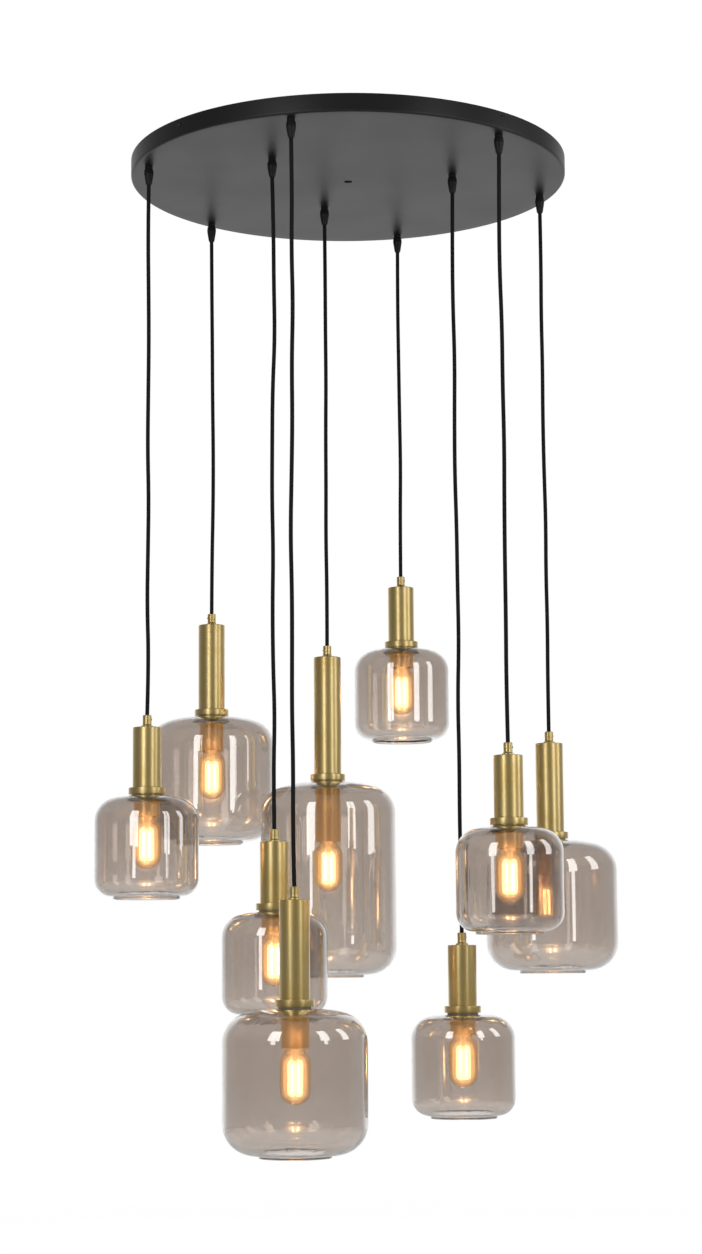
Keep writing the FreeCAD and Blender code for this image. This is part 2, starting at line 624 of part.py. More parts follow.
def build_tube(number, size):
    """Brass tube with its cord bush, the bush's grub screw and the threaded nipple inside."""
    inner = "tube_radius - tube_wall"
    length = f"{size}_tube_length"
    tube = turned(f"tube_shell_{number}", [
        (inner, "0"),
        ("tube_radius", "0"),
        ("tube_radius", f"{length} - tube_edge_radius", "tube_edge_radius", 1),
        ("tube_radius - tube_edge_radius", length),
        ("nipple_hole_radius", length),
        ("nipple_hole_radius", f"{length} - tube_top_sheet"),
        (inner, f"{length} - tube_top_sheet"),
    ])
    place(tube, f"hole_x_{number}", f"hole_y_{number}", f"tube_foot_{number}")
    blank = turned(f"bush_blank_{number}", [
        ("nipple_hole_radius", "0"),
        ("bush_foot_radius", "0"),
        ("bush_foot_radius", "bush_foot_height"),
        ("bush_radius", "bush_foot_height + bush_foot_radius - bush_radius"),
        ("bush_radius", "bush_height - bush_chamfer"),
        ("bush_radius - bush_chamfer", "bush_height"),
        ("cord_hole_radius", "bush_height"),
        ("cord_hole_radius", "bush_thread_depth"),
        ("nipple_hole_radius", "bush_thread_depth"),
    ])
    drill = rod(f"grub_drill_{number}", "grub_screw_radius + grub_screw_play", "bush_radius * 2",
                Vector(0, 1, 0))
    drill.setExpression("Placement.Base.z", bound("grub_screw_height"))
    bush = cut(f"cord_bush_{number}", blank, drill)
    place(bush, f"hole_x_{number}", f"hole_y_{number}", f"tube_top_{number}",
          f"screw_turn_{number}")
    grub = doc.addObject("Part::Cylinder", f"grub_screw_{number}")
    grub.setExpression("Radius", bound("grub_screw_radius"))
    grub.setExpression("Height",
                       bound("bush_radius + grub_screw_out - cord_hole_radius - cord_play"))
    turn = size_of(f"screw_turn_{number}")
    grub.Placement.Rotation = Rotation(Vector(0, 0, 1), turn) * Rotation(Vector(0, 1, 0), 90)
    start = "(cord_hole_radius + cord_play)"
    grub.setExpression("Placement.Base.x", bound(
        f"hole_x_{number} + {start} * cos(screw_turn_{number} * 1 deg)"))
    grub.setExpression("Placement.Base.y", bound(
        f"hole_y_{number} + {start} * sin(screw_turn_{number} * 1 deg)"))
    grub.setExpression("Placement.Base.z", bound(f"tube_top_{number} + grub_screw_height"))
    nipple_length = (f"tube_top_{number} + bush_thread_depth - core_top_{number}")
    nipple = turned(f"nipple_{number}", [
        ("nipple_radius - nipple_wall", "0"),
        ("nipple_radius", "0"),
        ("nipple_radius", nipple_length),
        ("nipple_radius - nipple_wall", nipple_length),
    ])
    place(nipple, f"hole_x_{number}", f"hole_y_{number}", f"core_top_{number}")
    keep(group(f"tube_{number}", [tube, bush, grub, nipple]), f"tube_{number}")


def build_collar(number):
    """What clamps the glass: turned collar, a gasket on each side and the ring nut below."""
    bore = "sleeve_neck_radius + collar_bore_play"
    spigot = "tube_radius - tube_wall - spigot_play"
    neck_foot = "collar_step_height + collar_height"
    collar = turned(f"collar_ring_{number}", [
        (bore, "0"),
        ("collar_step_radius", "0"),
        ("collar_step_radius", "collar_step_height"),
        ("collar_radius - collar_chamfer", "collar_step_height"),
        ("collar_radius", "collar_step_height + collar_chamfer"),
        ("collar_radius", f"{neck_foot} - collar_chamfer"),
        ("collar_radius - collar_chamfer", neck_foot),
        ("shadow_neck_radius", neck_foot),
        ("shadow_neck_radius", f"{neck_foot} + shadow_gap"),
        (spigot, f"{neck_foot} + shadow_gap"),
        (spigot, f"{neck_foot} + shadow_gap + spigot_height"),
        (bore, f"{neck_foot} + shadow_gap + spigot_height"),
    ])
    place(collar, f"hole_x_{number}", f"hole_y_{number}",
          f"glass_top_{number} + upper_gasket_height")
    upper = ring(f"upper_gasket_{number}", "glass_hole_radius", "upper_gasket_radius",
                 "upper_gasket_height")
    place(upper, f"hole_x_{number}", f"hole_y_{number}", f"glass_top_{number}")
    lower = ring(f"lower_gasket_{number}", "glass_hole_radius", "lower_gasket_radius",
                 "lower_gasket_height")
    place(lower, f"hole_x_{number}", f"hole_y_{number}",
          f"glass_top_{number} - glass_wall - lower_gasket_height")
    nut = ring(f"ring_nut_{number}", "sleeve_neck_radius + thread_play", "ring_nut_radius",
               "ring_nut_height")
    place(nut, f"hole_x_{number}", f"hole_y_{number}",
          f"glass_top_{number} - sleeve_top_gap")
    keep(group(f"collar_{number}", [collar, upper, lower, nut]), f"collar_{number}")


def ring(name, inner, outer, height):
    """A plain flat ring."""
    return turned(name, [(inner, "0"), (outer, "0"), (outer, height), (inner, height)])


def build_sleeve(number, size):
    """Lamp holder: brass sleeve, whose neck passes through the glass, and the core in it."""
    length = f"{size}_sleeve_length"
    top = f"{length} + sleeve_neck_height"
    inner = "sleeve_radius - sleeve_wall"
    neck_inner = "sleeve_neck_radius - sleeve_wall"
    sleeve = turned(f"sleeve_shell_{number}", [
        (inner, "0"),
        ("sleeve_radius", "0"),
        ("sleeve_radius", length),
        ("sleeve_neck_radius", length),
        ("sleeve_neck_radius", top),
        ("nipple_hole_radius", top),
        ("nipple_hole_radius", f"{top} - sleeve_wall"),
        (neck_inner, f"{top} - sleeve_wall"),
        (neck_inner, f"{length} - sleeve_wall"),
        (inner, f"{length} - sleeve_wall"),
    ])
    place(sleeve, f"hole_x_{number}", f"hole_y_{number}", f"sleeve_rim_{number}")
    core = turned(f"holder_core_{number}", [
        ("cap_radius + cap_play", "0"),
        (f"{inner} - core_play", "0"),
        (f"{inner} - core_play", "core_flange_height"),
        (f"{neck_inner} - core_play", "core_flange_height"),
        (f"{neck_inner} - core_play", "core_height"),
        ("0", "core_height"),
        ("0", "core_socket_depth"),
        ("cap_radius + cap_play", "core_socket_depth"),
    ])
    place(core, f"hole_x_{number}", f"hole_y_{number}", f"sleeve_rim_{number} + core_recess")
    keep(group(f"sleeve_{number}", [sleeve, core]), f"sleeve_{number}")


def build_shade(number, size):
    """Blown glass shade: hole at the top, domed crown, round shoulder, straight side, round
    foot, flat base and a short neck that ends in a melted round lip. Height 0 is the lip."""
    g = size + "_"
    crown = crown_join(g, "0")
    crown_inner = crown_join(g, "glass_wall")
    base = base_join(g, "0")
    base_inner = base_join(g, "glass_wall")
    shoulder = f"{g}glass_height - {g}shoulder_drop"
    foot = f"lip_height + {g}foot_rise"
    shade = turned(f"shade_{number}", [
        ("glass_hole_radius", f"{g}glass_height - glass_wall"),
        ("crown_start_radius", f"{g}glass_height - glass_wall",
         f"{g}crown_radius - glass_wall", -1),
        (*crown_inner, f"{g}shoulder_radius - glass_wall", -1),
        (f"{g}glass_radius - glass_wall", shoulder),
        (f"{g}glass_radius - glass_wall", foot, f"{g}foot_radius - glass_wall", -1),
        (*base_inner, f"{g}base_radius - glass_wall", -1),
        (f"{g}mouth_radius", "lip_height + glass_wall"),
        (f"{g}mouth_radius - glass_wall", "lip_height + glass_wall"),
        (f"{g}mouth_radius - glass_wall", "glass_wall / 2", "glass_wall / 2", 0),
        (f"{g}mouth_radius", "glass_wall / 2"),
        (f"{g}mouth_radius", "lip_height", f"{g}base_radius", 1),
        (*base, f"{g}foot_radius", 1),
        (f"{g}glass_radius", foot),
        (f"{g}glass_radius", shoulder, f"{g}shoulder_radius", 1),
        (*crown, f"{g}crown_radius", 1),
        ("crown_start_radius", f"{g}glass_height"),
        ("glass_hole_radius", f"{g}glass_height"),
    ])
    place(shade, f"hole_x_{number}", f"hole_y_{number}", f"glass_lip_{number}")
    keep(shade, f"shade_{number}")


def crown_join(g, wall):
    """Where the crown's arc meets the shoulder's, on the face that lies a wall further in."""
    reach = f"({g}crown_radius - {wall}) / {g}crown_arm"
    return (f"crown_start_radius + {reach} * {g}crown_run",
            f"{g}glass_height - {g}crown_radius"
            f" + {reach} * ({g}crown_radius - {g}shoulder_drop)")


def base_join(g, wall):
    """Where the base's arc meets the foot's, on the face that lies a wall further in."""
    reach = f"({g}base_radius - {wall}) / {g}base_arm"
    return (f"{g}mouth_radius + {reach} * {g}base_run",
            f"lip_height + {g}base_radius - {reach} * ({g}base_radius - {g}foot_rise)")


def build_bulb(number):
    """Tubular filament bulb: thin glass, screw cap, and the filament column inside."""
    neck = "bulb_neck_radius"
    inner_neck = f"{neck} - bulb_glass"
    start = "bulb_length - bulb_taper_height"
    envelope = turned(f"bulb_glass_{number}", [
        ("0", "0", "bulb_radius", 1),
        ("bulb_radius", "bulb_radius"),
        ("bulb_radius", start),
        (neck, "bulb_length"),
        (neck, "bulb_length + core_flange_height * 2"),
        (inner_neck, "bulb_length + core_flange_height * 2"),
        (inner_neck, "bulb_length"),
        ("bulb_radius - bulb_glass", start),
        ("bulb_radius - bulb_glass", "bulb_radius", "bulb_radius - bulb_glass", -1),
        ("0", "bulb_glass"),
    ])
    place(envelope, f"hole_x_{number}", f"hole_y_{number}", f"sleeve_rim_{number} - bulb_length")
    cap_inner = "cap_radius - cap_wall"
    cap_foot = "core_recess + core_flange_height"
    cap = turned(f"bulb_cap_{number}", [
        (cap_inner, "0"),
        ("cap_radius", "0"),
        ("cap_radius", "cap_height"),
        ("cap_tip_radius", "cap_height + cap_tip_height"),
        ("0", "cap_height + cap_tip_height"),
        ("0", "cap_height"),
        (cap_inner, "cap_height - cap_wall"),
    ])
    place(cap, f"hole_x_{number}", f"hole_y_{number}", f"sleeve_rim_{number} + {cap_foot}")
    column = build_filaments(number)
    keep(group(f"bulb_{number}", [envelope, cap, column]), f"bulb_{number}")


def build_filaments(number):
    """Glass stem that hangs from the bulb's neck, with four filament rods between two hubs."""
    hub_radius = "filament_circle_radius + filament_radius + hub_margin"
    pieces = []
    stem = rod(f"stem_{number}", "stem_radius", "stem_length + core_flange_height")
    place(stem, f"hole_x_{number}", f"hole_y_{number}",
          f"sleeve_rim_{number} - stem_length")
    pieces.append(stem)
    flare = rod(f"stem_flare_{number}", "bulb_neck_radius - bulb_glass - stem_flare_play",
                "core_flange_height")
    place(flare, f"hole_x_{number}", f"hole_y_{number}", f"sleeve_rim_{number}")
    pieces.append(flare)
    for name, height in (("top", "0"), ("low", "filament_length + hub_height")):
        hub = rod(f"hub_{name}_{number}", hub_radius, "hub_height")
        place(hub, f"hole_x_{number}", f"hole_y_{number}",
              f"sleeve_rim_{number} - stem_length - {height}")
        pieces.append(hub)
    for index, (across, along) in enumerate(((1, 0), (0, 1), (-1, 0), (0, -1))):
        filament = rod(f"filament_{number}_{index}", "filament_radius",
                       "filament_length + hub_height")
        place(filament,
              f"hole_x_{number} + filament_circle_radius * {across}",
              f"hole_y_{number} + filament_circle_radius * {along}",
              f"sleeve_rim_{number} - stem_length - filament_length - hub_height / 2")
        pieces.append(filament)
    column = doc.addObject("Part::MultiFuse", f"filament_column_{number}")
    column.Shapes = pieces
    return column


# ---------------------------------------------------------------- the lamp

build_canopy()
build_rim_screws()
build_bracket()
build_grips()
build_leads()
build_terminal_box()
for number, size, *rest in PENDANTS:
    build_cord(number)
    build_tube(number, size)
    build_collar(number)
    build_sleeve(number, size)
    build_shade(number, size)
    build_bulb(number)
doc.recompute()

# ---------------------------------------------------------------- checks and files

for item in doc.Objects:
    if "Invalid" in item.State or "Error" in item.State:
        raise RuntimeError(f"{item.Label} did not build: {item.State}")
for item in sub_parts:
    if item.Shape.isNull() or not item.Shape.isValid():
        raise RuntimeError(f"{item.Label} has no valid shape")

os.makedirs("parts", exist_ok=True)
for item in sub_parts:
    item.Shape.exportStep(os.path.join("parts", f"{item.Label}.step"))
print(f"{len(sub_parts)} sub-parts, {sum(len(item.Shape.Solids) for item in sub_parts)} solids")
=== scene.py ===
# %% [markdown]
# # A cluster pendant with smoked glass shades
# Nine blown-glass shades hang at mixed heights from one round black canopy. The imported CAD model
# is the frame: it says where every piece is. This lesson dresses it with smooth turned shapes,
# glass, brushed brass, powder coat and braided cord, and lights it like a studio picture.

# %% Load the frame
import math
from types import SimpleNamespace

import bmesh
import bpy
from mathutils import Matrix, Vector


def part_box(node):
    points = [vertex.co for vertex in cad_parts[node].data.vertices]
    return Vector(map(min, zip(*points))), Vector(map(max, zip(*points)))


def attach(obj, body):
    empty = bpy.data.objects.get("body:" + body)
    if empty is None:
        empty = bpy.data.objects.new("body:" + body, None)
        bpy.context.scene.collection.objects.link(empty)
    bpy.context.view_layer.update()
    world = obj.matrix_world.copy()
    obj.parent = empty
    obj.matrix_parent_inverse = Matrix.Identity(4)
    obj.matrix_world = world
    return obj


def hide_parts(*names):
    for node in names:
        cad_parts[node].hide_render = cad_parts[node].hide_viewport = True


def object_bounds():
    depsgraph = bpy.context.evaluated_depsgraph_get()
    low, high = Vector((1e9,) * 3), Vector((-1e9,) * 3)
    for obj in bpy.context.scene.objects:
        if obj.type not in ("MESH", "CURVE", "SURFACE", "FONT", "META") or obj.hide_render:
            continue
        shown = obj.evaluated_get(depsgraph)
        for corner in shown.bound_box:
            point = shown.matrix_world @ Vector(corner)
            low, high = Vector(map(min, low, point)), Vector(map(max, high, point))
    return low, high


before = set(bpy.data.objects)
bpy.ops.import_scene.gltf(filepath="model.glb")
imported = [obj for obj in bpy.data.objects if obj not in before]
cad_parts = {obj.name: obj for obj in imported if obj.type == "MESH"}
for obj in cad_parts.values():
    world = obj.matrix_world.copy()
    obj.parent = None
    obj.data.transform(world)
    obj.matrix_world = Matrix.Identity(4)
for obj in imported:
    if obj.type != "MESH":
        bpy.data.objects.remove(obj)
cad_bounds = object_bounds()
MM = 0.001
print("CAD box:", [[round(value, 3) for value in corner] for corner in cad_bounds])

# %% [markdown]
# ## Camera
# The picture was taken with a long lens from about four metres, a little below the middle of the
# pendants and tilted up, so that the canopy shows its underside. Distance and tilt together set
# how flat the canopy's ellipse is, so both come from fitting that ellipse.

# %% Camera
IMAGE_HEIGHT = 1254
FOCAL_PIXELS = 2599.5
SENSOR_MM = 36.0
CAMERA_PLACE = Vector((0.0037, -4.078, -1.292))
PITCH_UP = math.radians(7.50)
YAW = -0.0016
ROLL = -0.0076
RIGHT_SHIFT_PIXELS = 6.8

camera_data = bpy.data.cameras.new("camera")
camera_data.sensor_width = SENSOR_MM
camera_data.lens = SENSOR_MM * FOCAL_PIXELS / IMAGE_HEIGHT
camera_data.shift_x = -RIGHT_SHIFT_PIXELS / IMAGE_HEIGHT
camera_data.clip_end = 60
camera = bpy.data.objects.new("camera", camera_data)
bpy.context.collection.objects.link(camera)
camera.matrix_world = (
    Matrix.Translation(CAMERA_PLACE)
    @ Matrix.Rotation(YAW, 4, "Z")
    @ Matrix.Rotation(math.pi / 2 + PITCH_UP, 4, "X")
    @ Matrix.Rotation(ROLL, 4, "Z")
)
bpy.context.scene.camera = camera
print(f"lens {camera_data.lens:.1f} mm")

# %% [markdown]
# ## Shader maths as Python
# A node tree is easier to read as sums. `Value` wraps one output socket, and its operators add
# the Math nodes. Every other node comes from `Finish.node`, which takes the node's type, its
# settings and its inputs.


# %% Shader helpers
class Value:
    """One output socket with which one can calculate."""

    def __init__(self, finish, socket):
        self.finish = finish
        self.socket = socket

    def math(self, operation, *others):
        return self.finish.node("ShaderNodeMath", {"operation": operation}, {
            index: item for index, item in enumerate((self, *others))})

    def __add__(self, other):
        return self.math("ADD", other)

    def __sub__(self, other):
        return self.math("SUBTRACT", other)

    def __mul__(self, other):
        return self.math("MULTIPLY", other)

    def __rsub__(self, other):
        return self.finish.node("ShaderNodeMath", {"operation": "SUBTRACT"}, {0: other, 1: self})

    def step_between(self, low, high):
        """0 below low, 1 above high, smooth between."""
        return self.finish.node(
            "ShaderNodeMapRange", {"interpolation_type": "SMOOTHSTEP"},
            {"Value": self, "From Min": low, "From Max": high})


class Finish:
    """A node tree of a material or the world."""

    def __init__(self, owner):
        owner.use_nodes = True
        self.owner = owner
        self.tree = owner.node_tree
        self.tree.nodes.clear()

    def node(self, kind, settings, inputs, output=0):
        node = self.tree.nodes.new(kind)
        for name, setting in settings.items():
            setattr(node, name, setting)
        for name, item in inputs.items():
            if isinstance(item, Value):
                self.tree.links.new(item.socket, node.inputs[name])
            else:
                node.inputs[name].default_value = item
        return Value(self, node.outputs[output])

    def place(self):
        """The point on the piece, in metres."""
        return self.node("ShaderNodeTexCoord", {}, {}, "Object")

    def ray(self, question):
        """What Light Path says of the ray that has arrived."""
        return self.node("ShaderNodeLightPath", {}, {}, question)

    def attribute(self, name):
        """A number that the mesh holds for each point."""
        return self.node("ShaderNodeAttribute", {"attribute_name": name}, {}, "Fac")

    def scaled(self, place, scale):
        return self.node("ShaderNodeMapping", {}, {"Vector": place, "Scale": scale})

    def noise(self, place, scale, detail=2.0, roughness=0.5):
        return self.node("ShaderNodeTexNoise", {}, {
            "Vector": place, "Scale": scale, "Detail": detail, "Roughness": roughness})

    def part_of(self, vector, axis):
        return self.node("ShaderNodeSeparateXYZ", {}, {"Vector": vector}, axis)

    def mix(self, factor, first, second):
        return self.node("ShaderNodeMix", {"data_type": "RGBA"},
                         {0: factor, 6: first, 7: second}, 2)

    def bump(self, height, distance, strength=1.0, under=None):
        inputs = {"Height": height, "Distance": distance, "Strength": strength}
        if under:
            inputs["Normal"] = under
        return self.node("ShaderNodeBump", {}, inputs)

    def surface(self, shader):
        kind = "ShaderNodeOutputMaterial"
        if isinstance(self.owner, bpy.types.World):
            kind = "ShaderNodeOutputWorld"
        end = self.tree.nodes.new(kind)
        self.tree.links.new(shader.socket, end.inputs["Surface"])


def complete(finish, inputs):
    """Adds the Principled shader and ends the tree."""
    finish.surface(finish.node("ShaderNodeBsdfPrincipled", {}, inputs, "BSDF"))
    return finish.owner


def begin(name):
    return Finish(bpy.data.materials.new(name))


print("shader helpers ready")

# %% [markdown]
# ## The studio
# The background is white, and so it must be for the camera and for what the camera sees through
# the glass: Light Path tells those rays apart. Brass, lacquer and glass mirror the room instead.
# It is dim on the camera's side, a little lighter at the sides and bright far behind, which is
# what lights the ends of the canopy's rim.
#
# Two tall softboxes and a third at the far right make the bands on the brass and the strips on the
# glass. They end at a height that upper shades mirror in full and lower shades only in their
# shoulders. Two narrow dim panels go on below them, and carry the strips down the lower walls.
#
# The floor is white paper that keeps a soft shadow. It fades out towards its edge, so that no
# horizon shows in the glass, and it is clear from below, so that the lamp can be seen from there.

# %% World
WHITE = (1.0, 1.0, 1.0, 1)
ROOM_FRONT = (0.15, 0.15, 0.155, 1)
ROOM_SIDE = (0.30, 0.30, 0.305, 1)
ROOM_FAR = (0.95, 0.95, 0.95, 1)
ROOM_FILL = (0.55, 0.55, 0.55, 1)
# Where the front turns into the side and the side into the far end: -1 is in front, 1 is far.
SIDE_FROM = (-0.1, 0.6)
FAR_FROM = (0.6, 0.95)


def seen_directly(finish):
    """1 for rays from the camera, straight or through glass, and 0 for mirrored or soft ones."""
    through_glass = finish.ray("Is Transmission Ray") - finish.ray("Glossy Depth")
    return finish.ray("Is Camera Ray").math("MAXIMUM", through_glass)


world = bpy.data.worlds.new("studio")
bpy.context.scene.world = world
room = Finish(world)
depth = room.part_of(room.node("ShaderNodeTexCoord", {}, {}, "Generated"), "Y")
mirrored = room.mix(depth.step_between(*SIDE_FROM), ROOM_FRONT, ROOM_SIDE)
mirrored = room.mix(depth.step_between(*FAR_FROM), mirrored, ROOM_FAR)
shown = room.mix(room.ray("Is Diffuse Ray"),
                 room.mix(seen_directly(room), mirrored, WHITE), ROOM_FILL)
room.surface(room.node("ShaderNodeBackground", {}, {"Color": shown, "Strength": 1.0}))
print("world ready")

# %% Floor
FLOOR_BELOW_LOWEST = 0.45
FLOOR_RADIUS = 5.0
FLOOR_FADE = (1.2, 5.0)
FLOOR_GLOW = 0.62
floor_mesh = bmesh.new()
bmesh.ops.create_circle(floor_mesh, cap_ends=True, segments=64, radius=FLOOR_RADIUS)
bmesh.ops.translate(floor_mesh, verts=floor_mesh.verts,
                    vec=(0, 0, cad_bounds[0][2] - FLOOR_BELOW_LOWEST))
floor_data = bpy.data.meshes.new("floor")
floor_mesh.to_mesh(floor_data)
floor = bpy.data.objects.new("floor", floor_data)
bpy.context.collection.objects.link(floor)
paper = begin("studio_paper")
grain = paper.noise(paper.place(), 3.0)
diffuse = paper.node("ShaderNodeBsdfDiffuse", {}, {
    "Color": paper.mix(grain, (0.78, 0.78, 0.78, 1), (0.8, 0.8, 0.8, 1))})
glow = paper.node("ShaderNodeEmission", {}, {"Color": WHITE, "Strength": FLOOR_GLOW})
bright = paper.node("ShaderNodeAddShader", {}, {0: diffuse, 1: glow})
lit = paper.node("ShaderNodeMixShader", {}, {0: seen_directly(paper), 1: diffuse, 2: bright})
clear = paper.node("ShaderNodeBsdfTransparent", {}, {})
away = paper.node("ShaderNodeVectorMath", {"operation": "LENGTH"}, {0: paper.place()}, "Value")
from_below = paper.node("ShaderNodeNewGeometry", {}, {}, "Backfacing")
paper.surface(paper.node("ShaderNodeMixShader", {}, {
    0: from_below.math("MAXIMUM", away.step_between(*FLOOR_FADE)), 1: lit, 2: clear}))
floor_data.materials.append(paper.owner)
print(f"floor at {cad_bounds[0][2] - FLOOR_BELOW_LOWEST:.2f} m")

# %% Softboxes
SOFTBOX_HIGH = 0.45
SOFTBOX_LOW = -1.02
PANEL_LOW = -1.34
SOFTBOX_DISTANCE = 2.1
# Each: turn from the camera's side about the lamp, in degrees; width, low and high end in metres;
# power in watts.
SOFTBOXES = {
    "key_left": (-30, 0.6, SOFTBOX_LOW, SOFTBOX_HIGH, 6.8),
    "key_right": (42, 0.52, SOFTBOX_LOW, SOFTBOX_HIGH, 5.5),
    "rim_right": (81, 0.5, SOFTBOX_LOW, SOFTBOX_HIGH, 4.6),
    "low_left": (-30, 0.24, PANEL_LOW, SOFTBOX_LOW, 0.52),
    "low_right": (42, 0.2, PANEL_LOW, SOFTBOX_LOW, 0.43),
}
for name, (turn, width, low, high, power) in SOFTBOXES.items():
    light = bpy.data.lights.new(name, "AREA")
    light.shape = "RECTANGLE"
    light.size = width
    light.size_y = high - low
    light.energy = power
    box = bpy.data.objects.new(name, light)
    angle = math.radians(turn - 90)
    box.location = (SOFTBOX_DISTANCE * math.cos(angle), SOFTBOX_DISTANCE * math.sin(angle),
                    (low + high) / 2)
    box.rotation_euler = (math.pi / 2, 0, math.radians(turn))
    bpy.context.collection.objects.link(box)
print("softboxes:", ", ".join(SOFTBOXES))

# %% [markdown]
# ## Turned shapes
# Nearly all of this lamp is turned, spun or blown: round about one axis. So each piece is drawn
# as half a cross-section and then spun. The pen below works with bmesh operators: a straight run
# is an extruded vertex, and an arc is a vertex spun about the arc's centre. Stacked cylinders
# would give the steps too, but not the small rounds that catch the light.


# %% The pen and the lathe
ARC_STEP = math.radians(7.5)
SHARP = math.radians(32)
MERGE_DISTANCE = 1e-4


class Outline:
    """Half a cross-section, drawn with a pen from (radius, height) on, in millimetres."""

    def __init__(self, radius, height):
        self.mesh = bmesh.new()
        self.tip = self.mesh.verts.new((radius, 0, height))

    def line(self, radius, height):
        made = bmesh.ops.extrude_vert_indiv(self.mesh, verts=[self.tip])
        self.tip = made["verts"][0]
        self.tip.co = (radius, 0, height)
        return self

    def lines(self, *corners):
        for corner in corners:
            self.line(*corner)
        return self

    def upright(self, height, steps):
        """A straight upright run, in equal steps that keep its faces short."""
        start = self.tip.co.copy()
        for step in range(1, steps + 1):
            self.line(start.x, start.z + (height - start.z) * step / steps)
        return self

    def arc(self, radius, height, bend, steps=None):
        """An arc to (radius, height). Its radius is the size of bend; a positive bend has the
        centre on the left of the way there."""
        start = self.tip.co.copy()
        chord = Vector((radius, 0, height)) - start
        half = chord.length / 2
        size = max(abs(bend), half)
        side = 1 if bend > 0 else -1
        left = Vector((-chord.z, 0, chord.x)).normalized()
        centre = start + chord / 2 + left * side * math.sqrt(size ** 2 - half ** 2)
        turn = 2 * math.asin(half / size)
        made = bmesh.ops.spin(self.mesh, geom=[self.tip], cent=centre, axis=(0, 1, 0),
                              angle=-side * turn, steps=steps or max(2, round(turn / ARC_STEP)))
        self.tip = made["geom_last"][0]
        self.tip.co = (radius, 0, height)
        return self


def turned(outline, at, steps=96):
    """Spins an outline about a vertical axis through a point, which is in metres."""
    mesh = outline.mesh
    bmesh.ops.remove_doubles(mesh, verts=mesh.verts, dist=MERGE_DISTANCE)
    bmesh.ops.spin(mesh, geom=mesh.verts[:] + mesh.edges[:], cent=(0, 0, 0), axis=(0, 0, 1),
                   angle=math.tau, steps=steps, use_merge=True)
    bmesh.ops.remove_doubles(mesh, verts=mesh.verts, dist=MERGE_DISTANCE)
    bmesh.ops.recalc_face_normals(mesh, faces=mesh.faces)
    bmesh.ops.scale(mesh, verts=mesh.verts, vec=(MM, MM, MM))
    bmesh.ops.translate(mesh, verts=mesh.verts, vec=at)
    return mesh


def smooth(mesh, sharp=SHARP):
    """Smooth faces, with creases where two faces meet at more than an angle."""
    for face in mesh.faces:
        face.smooth = True
    for edge in mesh.edges:
        edge.smooth = len(edge.link_faces) == 2 and edge.calc_face_angle() < sharp


def piece(name, parts, body, nodes=()):
    """One object of the scene from (bmesh, material) parts. It rides on a body, and stands for
    CAD nodes if it is given any."""
    data = bpy.data.meshes.new(name)
    whole = bmesh.new()
    for index, (mesh, material) in enumerate(parts):
        smooth(mesh)
        for face in mesh.faces:
            face.material_index = index
        mesh.to_mesh(data)
        whole.from_mesh(data)
        mesh.free()
        data.materials.append(material)
    whole.to_mesh(data)
    whole.free()
    item = bpy.data.objects.new(name, data)
    bpy.context.collection.objects.link(item)
    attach(item, body)
    if nodes:
        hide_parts(*nodes)
    return item


print("pen and lathe ready")

# %% [markdown]
# ## Where the pendants are
# The frame gives each pendant's places, so the scene follows the CAD. The glass comes in three
# forms, each with its own arcs: a nearly flat crown, a round shoulder, a round foot, which is
# tighter on the small glass, and a nearly flat base.

# %% Pendants from the frame
PENDANTS = range(1, 10)
GLASS_FORMS = {
    "small": SimpleNamespace(shoulder=36, crown=100, foot=27, base=100, mouth=51.5),
    "medium": SimpleNamespace(shoulder=44, crown=150, foot=45, base=120, mouth=52.5),
    "large": SimpleNamespace(shoulder=44, crown=150, foot=45, base=120, mouth=57),
}
MEDIUM_FROM = 190
LARGE_FROM = 215
GLASS_WALL = 2.5
BUSH_HEIGHT = 19
CORD_ENTRY = 0.5


def find_pendant(number):
    """A pendant's places in metres and its glass's sizes in millimetres, from the CAD boxes."""
    low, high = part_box(f"shade_{number}")
    tube_low, tube_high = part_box(f"tube_{number}")
    cord_low, cord_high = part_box(f"cord_{number}")
    width = (high[0] - low[0]) / MM
    form = "large" if width > LARGE_FROM else "medium" if width > MEDIUM_FROM else "small"
    return SimpleNamespace(
        number=number, body=f"lamp_{number}", cord_body=f"hanging_cord_{number}",
        form=GLASS_FORMS[form], radius=round(width / 2, 1), height=(high[2] - low[2]) / MM,
        x=(tube_low[0] + tube_high[0]) / 2, y=(tube_low[1] + tube_high[1]) / 2,
        glass_top=high[2], lip=low[2], tube_top=cord_low[2] - (BUSH_HEIGHT - CORD_ENTRY) * MM,
        sleeve_rim=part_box(f"sleeve_{number}")[0][2], bulb_low=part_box(f"bulb_{number}")[0][2],
        grip_mouth=cord_high[2] - CORD_ENTRY * MM)


pendants = [find_pendant(number) for number in PENDANTS]
for pendant in pendants:
    print(pendant.number, round(pendant.x, 3), round(pendant.y, 3), "glass radius", pendant.radius,
          "top", round(pendant.glass_top, 3), "tube top", round(pendant.tube_top, 3))

# %% [markdown]
# ## Satin brass
# The tubes are turned brass, brushed round and lacquered. Brass is a metal, so its colour is the
# colour of its reflections, and brushing smears those into soft upright bands. The brushing itself
# is a noise that changes with height alone: fine rings, carried by a little roughness and bump. A
# picture of scratches would do as well, but noise has no seam and needs no file.

# %% Brass
BRASS_PALE = (0.88, 0.66, 0.24, 1)
BRASS_DEEP = (0.82, 0.57, 0.16, 1)
# The bulb's light painted on the sleeves: a warm base colour, and the colour of a weak painted
# glow.
BRASS_PAINTED_WARM_LIGHT = (1.0, 0.68, 0.32, 1)
PAINTED_BULB_GLOW = (1.0, 0.52, 0.13, 1)


